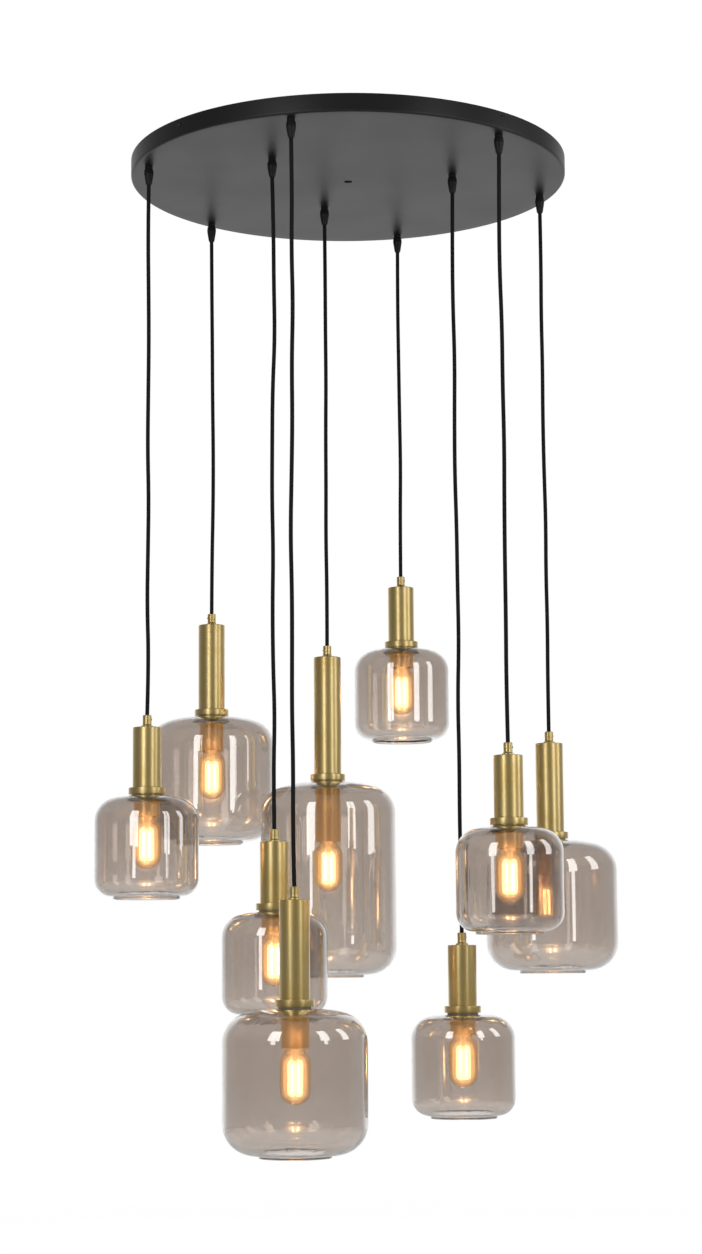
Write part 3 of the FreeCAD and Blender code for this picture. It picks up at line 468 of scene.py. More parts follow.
def brass_finish(name, lit=False):
    """Satin brass; a lit one also gets the bulb's light painted on, as a warm colour and a weak
    glow where its attribute says so.
    """
    brass = begin(name)
    place = brass.place()
    rings = brass.noise(brass.scaled(place, (0, 0, 2600)), 1.0, 3.0)
    tarnish = brass.noise(place, 22.0, 4.0).step_between(0.42, 0.75)
    colour = brass.mix(tarnish, BRASS_PALE, BRASS_DEEP)
    glow = {}
    if lit:
        # Painted light: the bulb's warm light mixed into the base colour and given off as a weak
        # glow.
        painted_bulb_light = brass.attribute("painted_bulb_light")
        colour = brass.mix(painted_bulb_light, colour, BRASS_PAINTED_WARM_LIGHT)
        glow = {"Emission Color": brass.mix(painted_bulb_light, (0, 0, 0, 1), PAINTED_BULB_GLOW),
                "Emission Strength": 0.3}
    return complete(brass, glow | {
        "Base Color": colour,
        "Metallic": 1.0,
        "Roughness": rings * 0.10 + tarnish * 0.04 + 0.31,
        "Coat Weight": 1.0, "Coat Roughness": 0.22, "Coat IOR": 1.75,
        "Normal": brass.bump(rings, 0.00001, 0.3),
    })


brass = brass_finish("satin_brass")
painted_light_brass = brass_finish("painted_bulb_light_brass", lit=True)


def steel_finish(name, colour, low, high):
    """Plain metal in uneven patches, whose roughness lies between low and high."""
    steel = begin(name)
    patches = steel.noise(steel.place(), 240.0, 3.0)
    return complete(steel, {
        "Base Color": steel.mix(patches, colour, tuple(part * 0.8 for part in colour[:3]) + (1,)),
        "Metallic": 1.0, "Roughness": patches * (high - low) + low})


screw_steel = steel_finish("screw_steel", (0.62, 0.61, 0.58, 1), 0.22, 0.4)
black_steel = steel_finish("black_screw", (0.09, 0.09, 0.09, 1), 0.3, 0.5)
zinc = steel_finish("zinc_steel", (0.6, 0.61, 0.62, 1), 0.3, 0.5)
cap_metal = steel_finish("bulb_cap_metal", (0.75, 0.72, 0.66, 1), 0.2, 0.35)
print("metals ready")

# %% [markdown]
# ## Black parts
# The canopy is powder coated: black with a faint orange-peel, which is what makes its reflections
# soft. Seen at a low angle it mirrors the bright far side of the room and looks grey. Grips and
# holder cores are black plastic with a finer grain, and the gaskets are brown silicone. Bump is
# enough for grain so fine: as real relief it would cost faces and show nothing more.


# %% Powder coat, plastic and rubber
def coat_finish(name, colour, grain, depth, low, high, gloss=0.5):
    """A dull finish with a fine bumpy grain; grain is in bumps per metre."""
    coat = begin(name)
    place = coat.place()
    peel = coat.noise(place, grain, 2.0)
    wear = coat.noise(place, 9.0, 3.0)
    dull = tuple(part * 1.5 for part in colour[:3]) + (1,)
    return complete(coat, {
        "Base Color": coat.mix(wear, colour, dull),
        "Roughness": wear * (high - low) + low, "Specular IOR Level": gloss,
        "Normal": coat.bump(peel, depth, 0.6)})


powder_coat = coat_finish("powder_coat", (0.006, 0.006, 0.0062, 1), 700.0, 0.00004, 0.36, 0.46)
black_plastic = coat_finish("black_plastic", (0.008, 0.008, 0.008, 1), 1800.0, 0.00002, 0.4, 0.5,
                            0.3)
rubber = coat_finish("rubber", (0.012, 0.012, 0.012, 1), 2500.0, 0.00003, 0.55, 0.75, 0.3)
gasket = coat_finish("silicone_gasket", (0.30, 0.25, 0.17, 1), 900.0, 0.00002, 0.4, 0.55, 0.4)
white_plastic = coat_finish("white_plastic", (0.55, 0.55, 0.53, 1), 1500.0, 0.00002, 0.35, 0.5)
print("coats ready")

# %% [markdown]
# ## Glass
# The shades are mouth-blown and smoke-grey with a lustre: a metal vapour that makes the glass
# mirror more than clear glass does, which a coat with a high index shows. The shader refracts,
# and its base colour tints each wall. Blown glass is never quite even: long shallow waves down
# the wall make the reflections ragged.
#
# The bulbs are clear and faintly amber, with a weak painted glow in their glass. A picture of a lit
# filament blooms, so each rod glows inside a thin see-through halo of painted bloom, and all four
# inside a wider and redder one.

# %% Smoked glass and bulb glass
SMOKE_WITH_PAINTED_SHADE = (0.75, 0.675, 0.615, 1)
SMOKE_PALE = (0.84, 0.775, 0.72, 1)


def smoked_finish():
    """Smoke grey that is paler near the mouth and deeper from halfway up. The deep shoulders and
    the pale band at the top edge are painted shade and painted reflection. The shade's "rise"
    attribute is 0 at the lip and 1 at the top."""
    glass = begin("smoked_glass")
    rise = glass.attribute("rise")
    # Painted shade and reflection in the tint: deep from halfway up, pale again at the top edge.
    tint = glass.mix(rise.step_between(-0.1, 0.6), SMOKE_PALE, SMOKE_WITH_PAINTED_SHADE)
    tint = glass.mix(rise.step_between(0.86, 1.1), tint, SMOKE_PALE)
    place = glass.place()
    streaks = glass.noise(glass.scaled(place, (48, 48, 3.5)), 1.0, 2.0)
    ripple = glass.noise(glass.scaled(place, (90, 90, 28)), 1.0, 1.0)
    waves = glass.bump(ripple, 0.0001, 0.4, glass.bump(streaks, 0.0007, 0.7))
    return complete(glass, {
        "Base Color": tint, "Roughness": 0.0, "IOR": 1.5, "Transmission Weight": 1.0,
        "Coat Weight": 1.0, "Coat Roughness": 0.0, "Coat IOR": 2.2, "Normal": waves})


def bulb_finish():
    """Clear amber glass with a weak painted glow of the filaments' light."""
    glass = begin("bulb_glass")
    ripple = glass.noise(glass.place(), 60.0, 1.0)
    return complete(glass, {
        "Base Color": (1.0, 0.88, 0.68, 1), "Roughness": 0.17, "IOR": 1.3,
        "Transmission Weight": 1.0, "Coat Weight": 1.0, "Coat Roughness": 0.02, "Coat IOR": 1.6,
        # Painted glow: the glass gives off a little orange light of its own.
        "Emission Color": (1.0, 0.5, 0.16, 1), "Emission Strength": 0.09,
        "Normal": glass.bump(ripple, 0.0002, 0.5)})


def glow_finish(name, colour, strength):
    """Something that glows a little unevenly: the filaments, which are the lamp, and the glass
    stem, whose glow is painted light.
    """
    glow = begin(name)
    flicker = glow.noise(glow.place(), 900.0, 1.0)
    return complete(glow, {
        "Base Color": colour, "Roughness": 0.5,
        "Emission Color": glow.mix(flicker, colour, (1.0, 0.75, 0.45, 1)),
        "Emission Strength": strength})


def halo_finish(name, colour, alpha, strength):
    """Painted bloom about the filaments: thin, warm, see-through and glowing."""
    halo = begin(name)
    flicker = halo.noise(halo.place(), 300.0, 1.0)
    return complete(halo, {
        "Base Color": (0, 0, 0, 1), "Specular IOR Level": 0.0, "Alpha": alpha,
        "Emission Color": halo.mix(flicker, colour, (1.0, 0.66, 0.34, 1)),
        "Emission Strength": strength})


smoked_glass = smoked_finish()
bulb_glass = bulb_finish()
inner_halo = halo_finish("inner_halo", (1.0, 0.92, 0.72, 1), 0.22, 6.0)
outer_halo = halo_finish("outer_halo", (1.0, 0.68, 0.36, 1), 0.16, 3.2)
filament_glow = glow_finish("filament_glow", (1.0, 0.76, 0.5, 1), 80.0)
# The glass stem and the middle rod glow with painted light from the filaments.
stem_glass_painted_glow = glow_finish("stem_glass_painted_glow", (0.9, 0.6, 0.35, 1), 0.8)
print("glass ready")

# %% [markdown]
# ## The canopy
# The real pan is spun from one round sheet, and so it is here: one cross-section from the hole in
# its middle, along the flat underside, round the edge, up the rim and back on the inside. It takes
# many steps, because a coarser circle shows its corners along the rim. The cord holes aren't cut,
# since the grips cover them.

# %% Canopy
CANOPY_RADIUS = 350
CANOPY_HEIGHT = 28
CANOPY_SHEET = 1.5
CANOPY_EDGE = 4
CENTRE_HOLE = 6.5
CANOPY_STEPS = 256
canopy_outline = Outline(CENTRE_HOLE, 0.4)
canopy_outline.arc(CENTRE_HOLE + 0.4, 0, -0.4)
canopy_outline.lines((40, 0), (150, 0), (260, 0), (330, 0), (CANOPY_RADIUS - CANOPY_EDGE, 0))
canopy_outline.arc(CANOPY_RADIUS, CANOPY_EDGE, CANOPY_EDGE)
canopy_outline.lines((CANOPY_RADIUS, CANOPY_HEIGHT),
                     (CANOPY_RADIUS - CANOPY_SHEET, CANOPY_HEIGHT),
                     (CANOPY_RADIUS - CANOPY_SHEET, CANOPY_EDGE))
canopy_outline.arc(CANOPY_RADIUS - CANOPY_EDGE, CANOPY_SHEET, -(CANOPY_EDGE - CANOPY_SHEET))
canopy_outline.lines((330, CANOPY_SHEET), (150, CANOPY_SHEET), (CENTRE_HOLE, CANOPY_SHEET),
                     (CENTRE_HOLE, 0.4))
canopy = turned(canopy_outline, (0, 0, -CANOPY_HEIGHT * MM), CANOPY_STEPS)
piece("canopy", [(canopy, powder_coat)], "ceiling", ["canopy_pan"])
print("canopy made,", 2 * CANOPY_RADIUS, "mm across")

# %% [markdown]
# ## Rim screws
# Four button-head screws hold the canopy on its bracket. Each is turned upright and then laid
# over: a domed head with a socket, and the shank behind it. The socket is turned too, since it is
# too small to show whether it is round or six-sided.

# %% Rim screws
BRACKET_TURN = 42.5
SCREW_DEPTH = 9
SCREW_HEAD = 3.8
SCREW_HEAD_HEIGHT = 2.2
SCREW_SOCKET = 1.35
SCREW_SHANK = 1.95
SCREW_LENGTH = 10


def rim_screw(turn):
    """A button-head screw that points out of the rim at a turn about the canopy."""
    head = Outline(0, -SCREW_LENGTH)
    head.lines((SCREW_SHANK - 0.4, -SCREW_LENGTH), (SCREW_SHANK, -SCREW_LENGTH + 0.4),
               (SCREW_SHANK, 0), (SCREW_HEAD, 0.02), (SCREW_HEAD, 0.4))
    head.arc(SCREW_SOCKET + 0.3, SCREW_HEAD_HEIGHT, 3.6)
    head.lines((SCREW_SOCKET, SCREW_HEAD_HEIGHT - 0.1), (SCREW_SOCKET, 0.9), (0, 0.6))
    mesh = turned(head, (0, 0, 0), 24)
    spin = Matrix.Rotation(math.radians(turn), 4, "Z") @ Matrix.Rotation(math.pi / 2, 4, "Y")
    out = Matrix.Rotation(math.radians(turn), 4, "Z") @ Vector((CANOPY_RADIUS * MM, 0, 0))
    bmesh.ops.transform(mesh, matrix=Matrix.Translation(out + Vector((0, 0, -SCREW_DEPTH * MM)))
                        @ spin, verts=mesh.verts)
    return mesh


screws = [(rim_screw(BRACKET_TURN + 90 * arm), black_steel) for arm in range(4)]
piece("rim_screws", screws, "ceiling", ["canopy_screws"])
print(len(screws), "rim screws made")

# %% [markdown]
# ## Cord grips
# Each cord leaves the canopy through a grip: a threaded body with a neck under the sheet, a
# tapered cap that squeezes the cord, and a nut on the inside. All three are turned, the nut in only
# six steps. A plain cone would lose the cap's groove and rolled edge, which show from below.

# %% Cord grips
CORD_HOLE = 3.35
THREAD_RADIUS = 5
THREAD_HOLE = 5.05
GRIP_NECK = 6.1
GRIP_NECK_HEIGHT = 4.5
GRIP_CAP_HEIGHT = 25
GRIP_NUT_HEIGHT = 4
GRIP_THREAD_ABOVE_NUT = 3


def grip_cap():
    """The tapered cap, with a rolled upper edge and a groove above its belly."""
    cap = Outline(CORD_HOLE, 0)
    cap.arc(4.1, 0, 0.4, 3)
    cap.lines((5.1, 2.0), (6.0, 8.0), (6.9, 13.4), (7.35, 16.6))
    cap.arc(7.5, 17.6, 2.5, 3)
    cap.lines((7.5, 20.4), (7.2, 20.9), (7.2, 21.3), (7.4, 21.7), (7.0, 24.6))
    cap.arc(6.6, GRIP_CAP_HEIGHT, 0.5, 3)
    return cap.lines((CORD_HOLE, GRIP_CAP_HEIGHT), (CORD_HOLE, 0))


def grip_stem():
    """The threaded body: a neck under the sheet, and the thread that stands up through it."""
    stem = Outline(CORD_HOLE, 0)
    top = GRIP_NECK_HEIGHT + CANOPY_SHEET + GRIP_NUT_HEIGHT + GRIP_THREAD_ABOVE_NUT
    return stem.lines((GRIP_NECK, 0), (GRIP_NECK, GRIP_NECK_HEIGHT),
                      (THREAD_RADIUS, GRIP_NECK_HEIGHT), (THREAD_RADIUS, top - 0.5),
                      (THREAD_RADIUS - 0.5, top), (CORD_HOLE, top), (CORD_HOLE, 0))


def grip_nut():
    """Spun in six steps, this outline becomes a hexagon."""
    nut = Outline(THREAD_HOLE, 0)
    return nut.lines((8.6, 0), (9.8, 0.6), (9.8, GRIP_NUT_HEIGHT - 0.6), (8.6, GRIP_NUT_HEIGHT),
                     (THREAD_HOLE, GRIP_NUT_HEIGHT), (THREAD_HOLE, 0))


underside = -CANOPY_HEIGHT * MM
grips = []
for pendant in pendants:
    spot = (pendant.x, pendant.y)
    grips.append((turned(grip_cap(), (*spot, pendant.grip_mouth), 32), black_plastic))
    grips.append((turned(grip_stem(), (*spot, underside - GRIP_NECK_HEIGHT * MM), 32),
                  black_plastic))
    grips.append((turned(grip_nut(), (*spot, underside + CANOPY_SHEET * MM), 6), black_plastic))
piece("grips", grips, "ceiling", ["cord_grips"])
print("cord grips made")

# %% [markdown]
# ## Brass tubes
# Above each shade stands a plain tube with a flat lid. On the lid sits a bush with a flared foot
# and a tiny screw that holds the cord. Tube and lid are one outline with a small round where they
# meet, because that edge shines. A bevelled cylinder would do it too, but would have no bore.

# %% Brass tubes and bushes
TUBE_RADIUS = 22
TUBE_WALL = 1
TUBE_LID = 2.5
TUBE_EDGE = 1.2
CLAMP_HEIGHT = 14.6
BUSH_RADIUS = 6.8
GRUB_HEIGHT = 12
GRUB_TURNS = {1: 0, 2: 200, 3: 160, 4: 180, 5: 330, 6: 0, 7: 10, 8: 180, 9: 20}


def tube_shell(length):
    """Tube and lid in one, open below."""
    inner = TUBE_RADIUS - TUBE_WALL
    shell = Outline(inner, 0)
    shell.lines((TUBE_RADIUS - 0.25, 0), (TUBE_RADIUS, 0.25), (TUBE_RADIUS, length / 2),
                (TUBE_RADIUS, length - TUBE_EDGE))
    shell.arc(TUBE_RADIUS - TUBE_EDGE, length, TUBE_EDGE)
    return shell.lines((12, length), (THREAD_HOLE, length), (THREAD_HOLE, length - TUBE_LID),
                       (inner, length - TUBE_LID), (inner, 0))


def bush():
    """The cord bush: flared foot, straight barrel, chamfered mouth."""
    barrel = Outline(THREAD_HOLE, 0)
    barrel.lines((9.2, 0), (9.5, 0.3), (9.5, 1.9))
    barrel.arc(9.0, 2.4, 0.5, 3)
    barrel.arc(BUSH_RADIUS, 5.1, -3.2, 5)
    barrel.lines((BUSH_RADIUS, 8.8), (BUSH_RADIUS - 0.25, 9.0), (BUSH_RADIUS - 0.25, 9.3),
                 (BUSH_RADIUS, 9.5), (BUSH_RADIUS, BUSH_HEIGHT - 0.7),
                 (BUSH_RADIUS - 0.7, BUSH_HEIGHT))
    return barrel.lines((CORD_HOLE, BUSH_HEIGHT), (CORD_HOLE, 8), (THREAD_HOLE, 8),
                        (THREAD_HOLE, 0))


def grub_screw(pendant):
    """A slotted screw head that just stands out of the bush."""
    screw = Outline(0, 0)
    screw.lines((1.5, 0), (1.5, 3.7), (1.3, 3.95), (0.5, 4.0), (0.5, 3.4), (0, 3.4))
    mesh = turned(screw, (0, 0, 0), 16)
    turn = math.radians(GRUB_TURNS[pendant.number])
    out = Matrix.Rotation(turn, 4, "Z")
    start = out @ Vector((3.6 * MM, 0, 0))
    middle = Vector((pendant.x, pendant.y, pendant.tube_top + GRUB_HEIGHT * MM))
    bmesh.ops.transform(mesh, verts=mesh.verts, matrix=Matrix.Translation(middle + start) @ out
                        @ Matrix.Rotation(math.pi / 2, 4, "Y"))
    return mesh


for pendant in pendants:
    foot = pendant.glass_top + CLAMP_HEIGHT * MM
    length = (pendant.tube_top - foot) / MM
    piece(f"brass_tube_{pendant.number}", [
        (turned(tube_shell(length), (pendant.x, pendant.y, foot)), brass),
        (turned(bush(), (pendant.x, pendant.y, pendant.tube_top), 48), brass),
        (grub_screw(pendant), screw_steel),
    ], pendant.body, [f"tube_{pendant.number}"])
print("brass tubes made")

# %% [markdown]
# ## Clamp stack
# The glass is held between a turned collar and a ring nut, with a gasket on each side. From the
# side one sees a thick ring with small bevels, a thin shadow gap between it and the tube, and the
# dark gasket under its foot. Each is a ring of its own that rests on the next, so the gap is a
# real shadow and not a dark line drawn on the brass.

# %% Collars and gaskets
COLLAR_BORE = 19.3
COLLAR_FOOT = 24
COLLAR_FOOT_HEIGHT = 1.2
COLLAR_RADIUS = 28.25
COLLAR_TOP = 11.4
SHADOW_NECK = 21.4
SPIGOT_RADIUS = 20.8
SPIGOT_TOP = 18
GASKET_HOLE = 20.2
UPPER_GASKET = 2
UPPER_GASKET_RADIUS = 24
LOWER_GASKET = 1.5
LOWER_GASKET_RADIUS = 31
RING_NUT = 3.5
RING_NUT_BORE = 19.05
RING_NUT_RADIUS = 26
RING_NUT_EDGE = 0.5


def collar():
    """The ring on its foot, the neck in the shadow gap and the spigot inside the tube."""
    ring = Outline(COLLAR_BORE, 0)
    ring.lines((COLLAR_FOOT - 0.4, 0), (COLLAR_FOOT, 0.4), (COLLAR_FOOT, COLLAR_FOOT_HEIGHT),
               (COLLAR_RADIUS - 0.6, COLLAR_FOOT_HEIGHT))
    ring.arc(COLLAR_RADIUS, COLLAR_FOOT_HEIGHT + 0.6, 0.6, 4)
    ring.line(COLLAR_RADIUS, COLLAR_TOP - 0.8)
    ring.arc(COLLAR_RADIUS - 0.8, COLLAR_TOP, 0.8, 4)
    neck_top = CLAMP_HEIGHT - UPPER_GASKET
    return ring.lines((SHADOW_NECK, COLLAR_TOP), (SHADOW_NECK, neck_top),
                      (SPIGOT_RADIUS, neck_top), (SPIGOT_RADIUS, SPIGOT_TOP),
                      (COLLAR_BORE, SPIGOT_TOP), (COLLAR_BORE, 0))


def flat_ring(inner, outer, height, edge=0.3):
    """A flat ring whose outer edges are bevelled."""
    ring = Outline(inner, 0)
    return ring.lines((outer - edge, 0), (outer, edge), (outer, height - edge),
                      (outer - edge, height), (inner, height), (inner, 0))


def clamp_stack(pendant):
    """Everything that clamps one glass, from the top down, as (bmesh, material) parts."""
    under_glass = -GLASS_WALL - LOWER_GASKET
    stack = (
        (collar(), UPPER_GASKET, brass),
        (flat_ring(GASKET_HOLE, UPPER_GASKET_RADIUS, UPPER_GASKET), 0, gasket),
        (flat_ring(GASKET_HOLE, LOWER_GASKET_RADIUS, LOWER_GASKET), under_glass, gasket),
        (flat_ring(RING_NUT_BORE, RING_NUT_RADIUS, RING_NUT, RING_NUT_EDGE),
         under_glass - RING_NUT, brass),
    )
    return [(turned(outline, (pendant.x, pendant.y, pendant.glass_top + above * MM)), material)
            for outline, above, material in stack]


for pendant in pendants:
    piece(f"clamp_stack_{pendant.number}", clamp_stack(pendant), pendant.body,
          [f"collar_{pendant.number}"])
print("clamp stacks made")

# %% [markdown]
# ## Lamp holders
# Inside the shade a brass sleeve hides the black holder core. The sleeve's neck goes up through the
# glass into the collar. The bulb's light on the sleeve is painted on: a warm colour and a weak
# glow, strongest at its rim and fading upwards, which the mesh holds in an attribute. A small lamp
# in each bulb could light it instead, but behind glass it makes a noisy picture.

# %% Sleeves and cores
SLEEVE_RADIUS = 20.5
SLEEVE_WALL = 1
SLEEVE_RINGS = 10
NECK_RADIUS = 19
NECK_HEIGHT = 25.5
SOCKET_RADIUS = 13.6
SOCKET_DEPTH = 25.5
CORE_HEIGHT = 44
CORE_RECESS = 1.5
# How far up the sleeve the painted bulb light reaches, in metres.
PAINTED_LIGHT_REACH = 0.13


def sleeve(length):
    """The sleeve from its open rim up, and its neck with a lid. The rings on the way up carry the
    painted bulb light."""
    inner = SLEEVE_RADIUS - SLEEVE_WALL
    neck_inner = NECK_RADIUS - SLEEVE_WALL
    lid = length + NECK_HEIGHT
    shell = Outline(inner, 0)
    shell.lines((SLEEVE_RADIUS - 0.2, 0), (SLEEVE_RADIUS, 0.2))
    shell.lines(*((SLEEVE_RADIUS, length * ring / SLEEVE_RINGS)
                  for ring in range(1, SLEEVE_RINGS)))
    shell.lines((SLEEVE_RADIUS, length - 0.5), (SLEEVE_RADIUS - 0.5, length),
                (NECK_RADIUS, length), (NECK_RADIUS, lid), (THREAD_HOLE, lid),
                (THREAD_HOLE, lid - SLEEVE_WALL), (neck_inner, lid - SLEEVE_WALL),
                (neck_inner, length - SLEEVE_WALL), (inner, length - SLEEVE_WALL))
    return shell.line(inner, 0)


def holder_core():
    """The black core: a flange at the rim, a body inside the neck and the socket."""
    core = Outline(SOCKET_RADIUS, 0)
    core.lines((18.6, 0), (19.2, 0.6), (19.2, 3), (17.7, 3), (17.7, CORE_HEIGHT),
               (0, CORE_HEIGHT), (0, SOCKET_DEPTH), (SOCKET_RADIUS, SOCKET_DEPTH))
    return core.line(SOCKET_RADIUS, 0)


def with_painted_light(mesh, rim_height):
    """Writes the attribute of the painted bulb light: 1 at the sleeve's rim, fading upwards."""
    painted_bulb_light = mesh.verts.layers.float.new("painted_bulb_light")
    for vertex in mesh.verts:
        above = (vertex.co.z - rim_height) / PAINTED_LIGHT_REACH
        vertex[painted_bulb_light] = 1 / (1 + above * above)
    return mesh


for pendant in pendants:
    rim = (pendant.x, pendant.y, pendant.sleeve_rim)
    below_glass = GLASS_WALL + LOWER_GASKET + RING_NUT
    length = (pendant.glass_top - pendant.sleeve_rim) / MM - below_glass
    piece(f"brass_sleeve_{pendant.number}", [
        (with_painted_light(turned(sleeve(length), rim), pendant.sleeve_rim), painted_light_brass),
        (turned(holder_core(), (*rim[:2], rim[2] + CORE_RECESS * MM), 64), black_plastic),
    ], pendant.body, [f"sleeve_{pendant.number}"])
print("sleeves made")

# %% [markdown]
# ## Shades
# One closed outline gives outer and inner wall, so the glass has its real thickness and refracts
# at both faces. The mouth's lip is melted round, which a Solidify modifier on a single wall
# wouldn't give.

# %% Glass shades
GLASS_HOLE = 20
CROWN_START = 31
LIP_HEIGHT = 4
WALL_STEPS = 8


def shade_outline(radius, height, form):
    """Down the inside from the hole, round the lip and up the outside. Where two arcs meet, the
    join lies on the line through their centres, a wall further in for the inside."""
    wall = GLASS_WALL
    run = radius - form.shoulder - CROWN_START
    drop = math.sqrt((form.crown - form.shoulder) ** 2 - run ** 2)
    base_run = radius - form.foot - form.mouth
    rise = math.sqrt((form.base - form.foot) ** 2 - base_run ** 2)
    shoulder_height = height - form.crown + drop
    foot_height = LIP_HEIGHT + form.base - rise

    def crown_join(inset):
        reach = (form.crown - inset) / (form.crown - form.shoulder)
        return CROWN_START + reach * run, height - form.crown + reach * drop

    def base_join(inset):
        reach = (form.base - inset) / (form.base - form.foot)
        return form.mouth + reach * base_run, LIP_HEIGHT + form.base - reach * rise

    pen = Outline(GLASS_HOLE, height - wall)
    pen.line(CROWN_START, height - wall)
    pen.arc(*crown_join(wall), -(form.crown - wall), 6)
    pen.arc(radius - wall, shoulder_height, -(form.shoulder - wall), 14)
    pen.upright(foot_height, WALL_STEPS)
    pen.arc(*base_join(wall), -(form.foot - wall), 12)
    pen.arc(form.mouth, LIP_HEIGHT + wall, -(form.base - wall), 4)
    pen.arc(form.mouth - wall, LIP_HEIGHT + wall - 1.6, 3.0, 3)
    pen.line(form.mouth - wall, wall / 2)
    pen.arc(form.mouth, wall / 2, wall / 2, 8)
    pen.line(form.mouth, LIP_HEIGHT - 1.2)
    pen.arc(form.mouth + 1.2, LIP_HEIGHT, -1.2, 4)
    pen.arc(*base_join(0), form.base, 4)
    pen.arc(radius, foot_height, form.foot, 12)
    pen.upright(shoulder_height, WALL_STEPS)
    pen.arc(*crown_join(0), form.shoulder, 14)
    pen.arc(CROWN_START, height, form.crown, 6)
    pen.line(GLASS_HOLE + 0.4, height)
    return pen.lines((GLASS_HOLE, height - 0.4), (GLASS_HOLE, height - wall))


def with_rise(mesh, pendant):
    """Writes how far up the shade each point is: 0 at the lip, 1 at the top."""
    rise = mesh.verts.layers.float.new("rise")
    for vertex in mesh.verts:
        vertex[rise] = (vertex.co.z - pendant.lip) / (pendant.glass_top - pendant.lip)
    return mesh


for pendant in pendants:
    outline = shade_outline(pendant.radius, pendant.height, pendant.form)
    glass = turned(outline, (pendant.x, pendant.y, pendant.lip), 160)
    piece(f"glass_shade_{pendant.number}", [(with_rise(glass, pendant), smoked_glass)],
          pendant.body, [f"shade_{pendant.number}"])
print("shades made")

# %% [markdown]
# ## Bulbs
# A tube bulb: thin glass with a round end, a screw cap, and inside it a glass stem that carries
# four upright filament rods between two rings of wire. The rods shine by themselves, since a lamp
# in their place would light the room and stay unseen. The stem's glow and the halos are painted
# light.

# %% Bulbs
BULB_RADIUS = 22.5
CAP_FOOT = 4.5
STEM_LENGTH = 22
FILAMENT_APART = 4.6
FILAMENT_RADIUS = 1.1
FILAMENT_LENGTH = 40
# Each halo: radius, length, and how far it reaches below the filaments.
INNER_HALO = (6.5, 52, 6)
OUTER_HALO = (17, 66, 12)


def bulb_envelope():
    """Up the outside from the round end to the neck, and down the inside."""
    glass = Outline(0, 0)
    glass.arc(BULB_RADIUS, BULB_RADIUS, BULB_RADIUS, 14)
    glass.lines((BULB_RADIUS, 40), (BULB_RADIUS, 58))
    glass.arc(17.4, 72.5, 18, 5)
    glass.arc(12.4, 82, -22, 4)
    glass.lines((12.4, 86), (11.4, 86), (11.4, 82))
    glass.arc(16.4, 72.0, 23, 4)
    glass.arc(BULB_RADIUS - 1, 58, -17, 5)
    glass.line(BULB_RADIUS - 1, BULB_RADIUS)
    return glass.arc(0, 1, -(BULB_RADIUS - 1), 14)


def bulb_cap():
    """The screw cap, whose thread is drawn as five rounds."""
    cap = Outline(12.8, 0)
    cap.line(13.0, 0)
    for turn in range(5):
        height = 2.4 + turn * 3.2
        cap.lines((13.0, height), (13.2, height + 0.8), (13.2, height + 1.6), (13.0, height + 2.4))
    return cap.lines((13.0, 19), (5, 21.5), (0, 21.5), (0, 19), (12.8, 18.6), (12.8, 0))


def rod(radius, length, at, steps=12):
    bar = Outline(0, 0)
    bar.lines((radius, 0), (radius, length), (0, length))
    return turned(bar, at, steps)


def capsule(radius, length, at):
    shell = Outline(0, 0)
    shell.arc(radius, radius, radius, 8)
    shell.line(radius, length - radius)
    shell.arc(0, length, radius, 8)
    return turned(shell, at, 32)


def filament_column(pendant):
    """Stem, rings, glowing rods and halos, as (bmesh, material) parts."""
    def at(below, across=0, along=0):
        return (pendant.x + across * MM, pendant.y + along * MM,
                pendant.sleeve_rim - below * MM)

    stem = Outline(0, 0)
    stem.lines((1.0, 0.4), (3.2, 2.0), (4.0, 5), (4.0, 16))
    stem.arc(11.0, 24, -9, 5)
    stem.lines((11.0, 25), (0, 25))
    parts = [(turned(stem, at(STEM_LENGTH), 24), stem_glass_painted_glow)]
    parts.append((rod(1.0, FILAMENT_LENGTH, at(STEM_LENGTH + FILAMENT_LENGTH)), stem_glass_painted_glow))
    low = STEM_LENGTH + FILAMENT_LENGTH
    for below in (STEM_LENGTH, low + 1.0):
        parts.append((turned(flat_ring(4.9, 7.3, 0.9, 0.2), at(below), 24), cap_metal))
    radius, length, reach = INNER_HALO
    for across, along in ((1, 1), (1, -1), (-1, 1), (-1, -1)):
        side = (across * FILAMENT_APART, along * FILAMENT_APART)
        parts.append((rod(FILAMENT_RADIUS, FILAMENT_LENGTH, at(low, *side)), filament_glow))
        parts.append((capsule(radius, length, at(low + reach, *side)), inner_halo))
    radius, length, reach = OUTER_HALO
    parts.append((capsule(radius, length, at(low + reach)), outer_halo))
    return parts


for pendant in pendants:
    low = (pendant.x, pendant.y, pendant.bulb_low)
    cap_at = (*low[:2], pendant.sleeve_rim + CAP_FOOT * MM)
    piece(f"bulb_envelope_{pendant.number}", [(turned(bulb_envelope(), low, 64), bulb_glass)],
          pendant.body, [f"bulb_{pendant.number}"])
    piece(f"bulb_inside_{pendant.number}",
          [(turned(bulb_cap(), cap_at, 48), cap_metal), *filament_column(pendant)],
          pendant.body)
print("bulbs made")

# %% [markdown]
# ## Cords
# A textile cord hangs nearly straight under its lamp's weight, but it keeps a gentle wave from
# having been rolled up. Each route is a smooth spline along listed points. The braid needs a skin,
# so the cord is a tube whose rings follow the spline, with a UV map that counts the turns round the
# cord and the diameters along it.

# %% Cord routes
CORD_RADIUS = 3.1
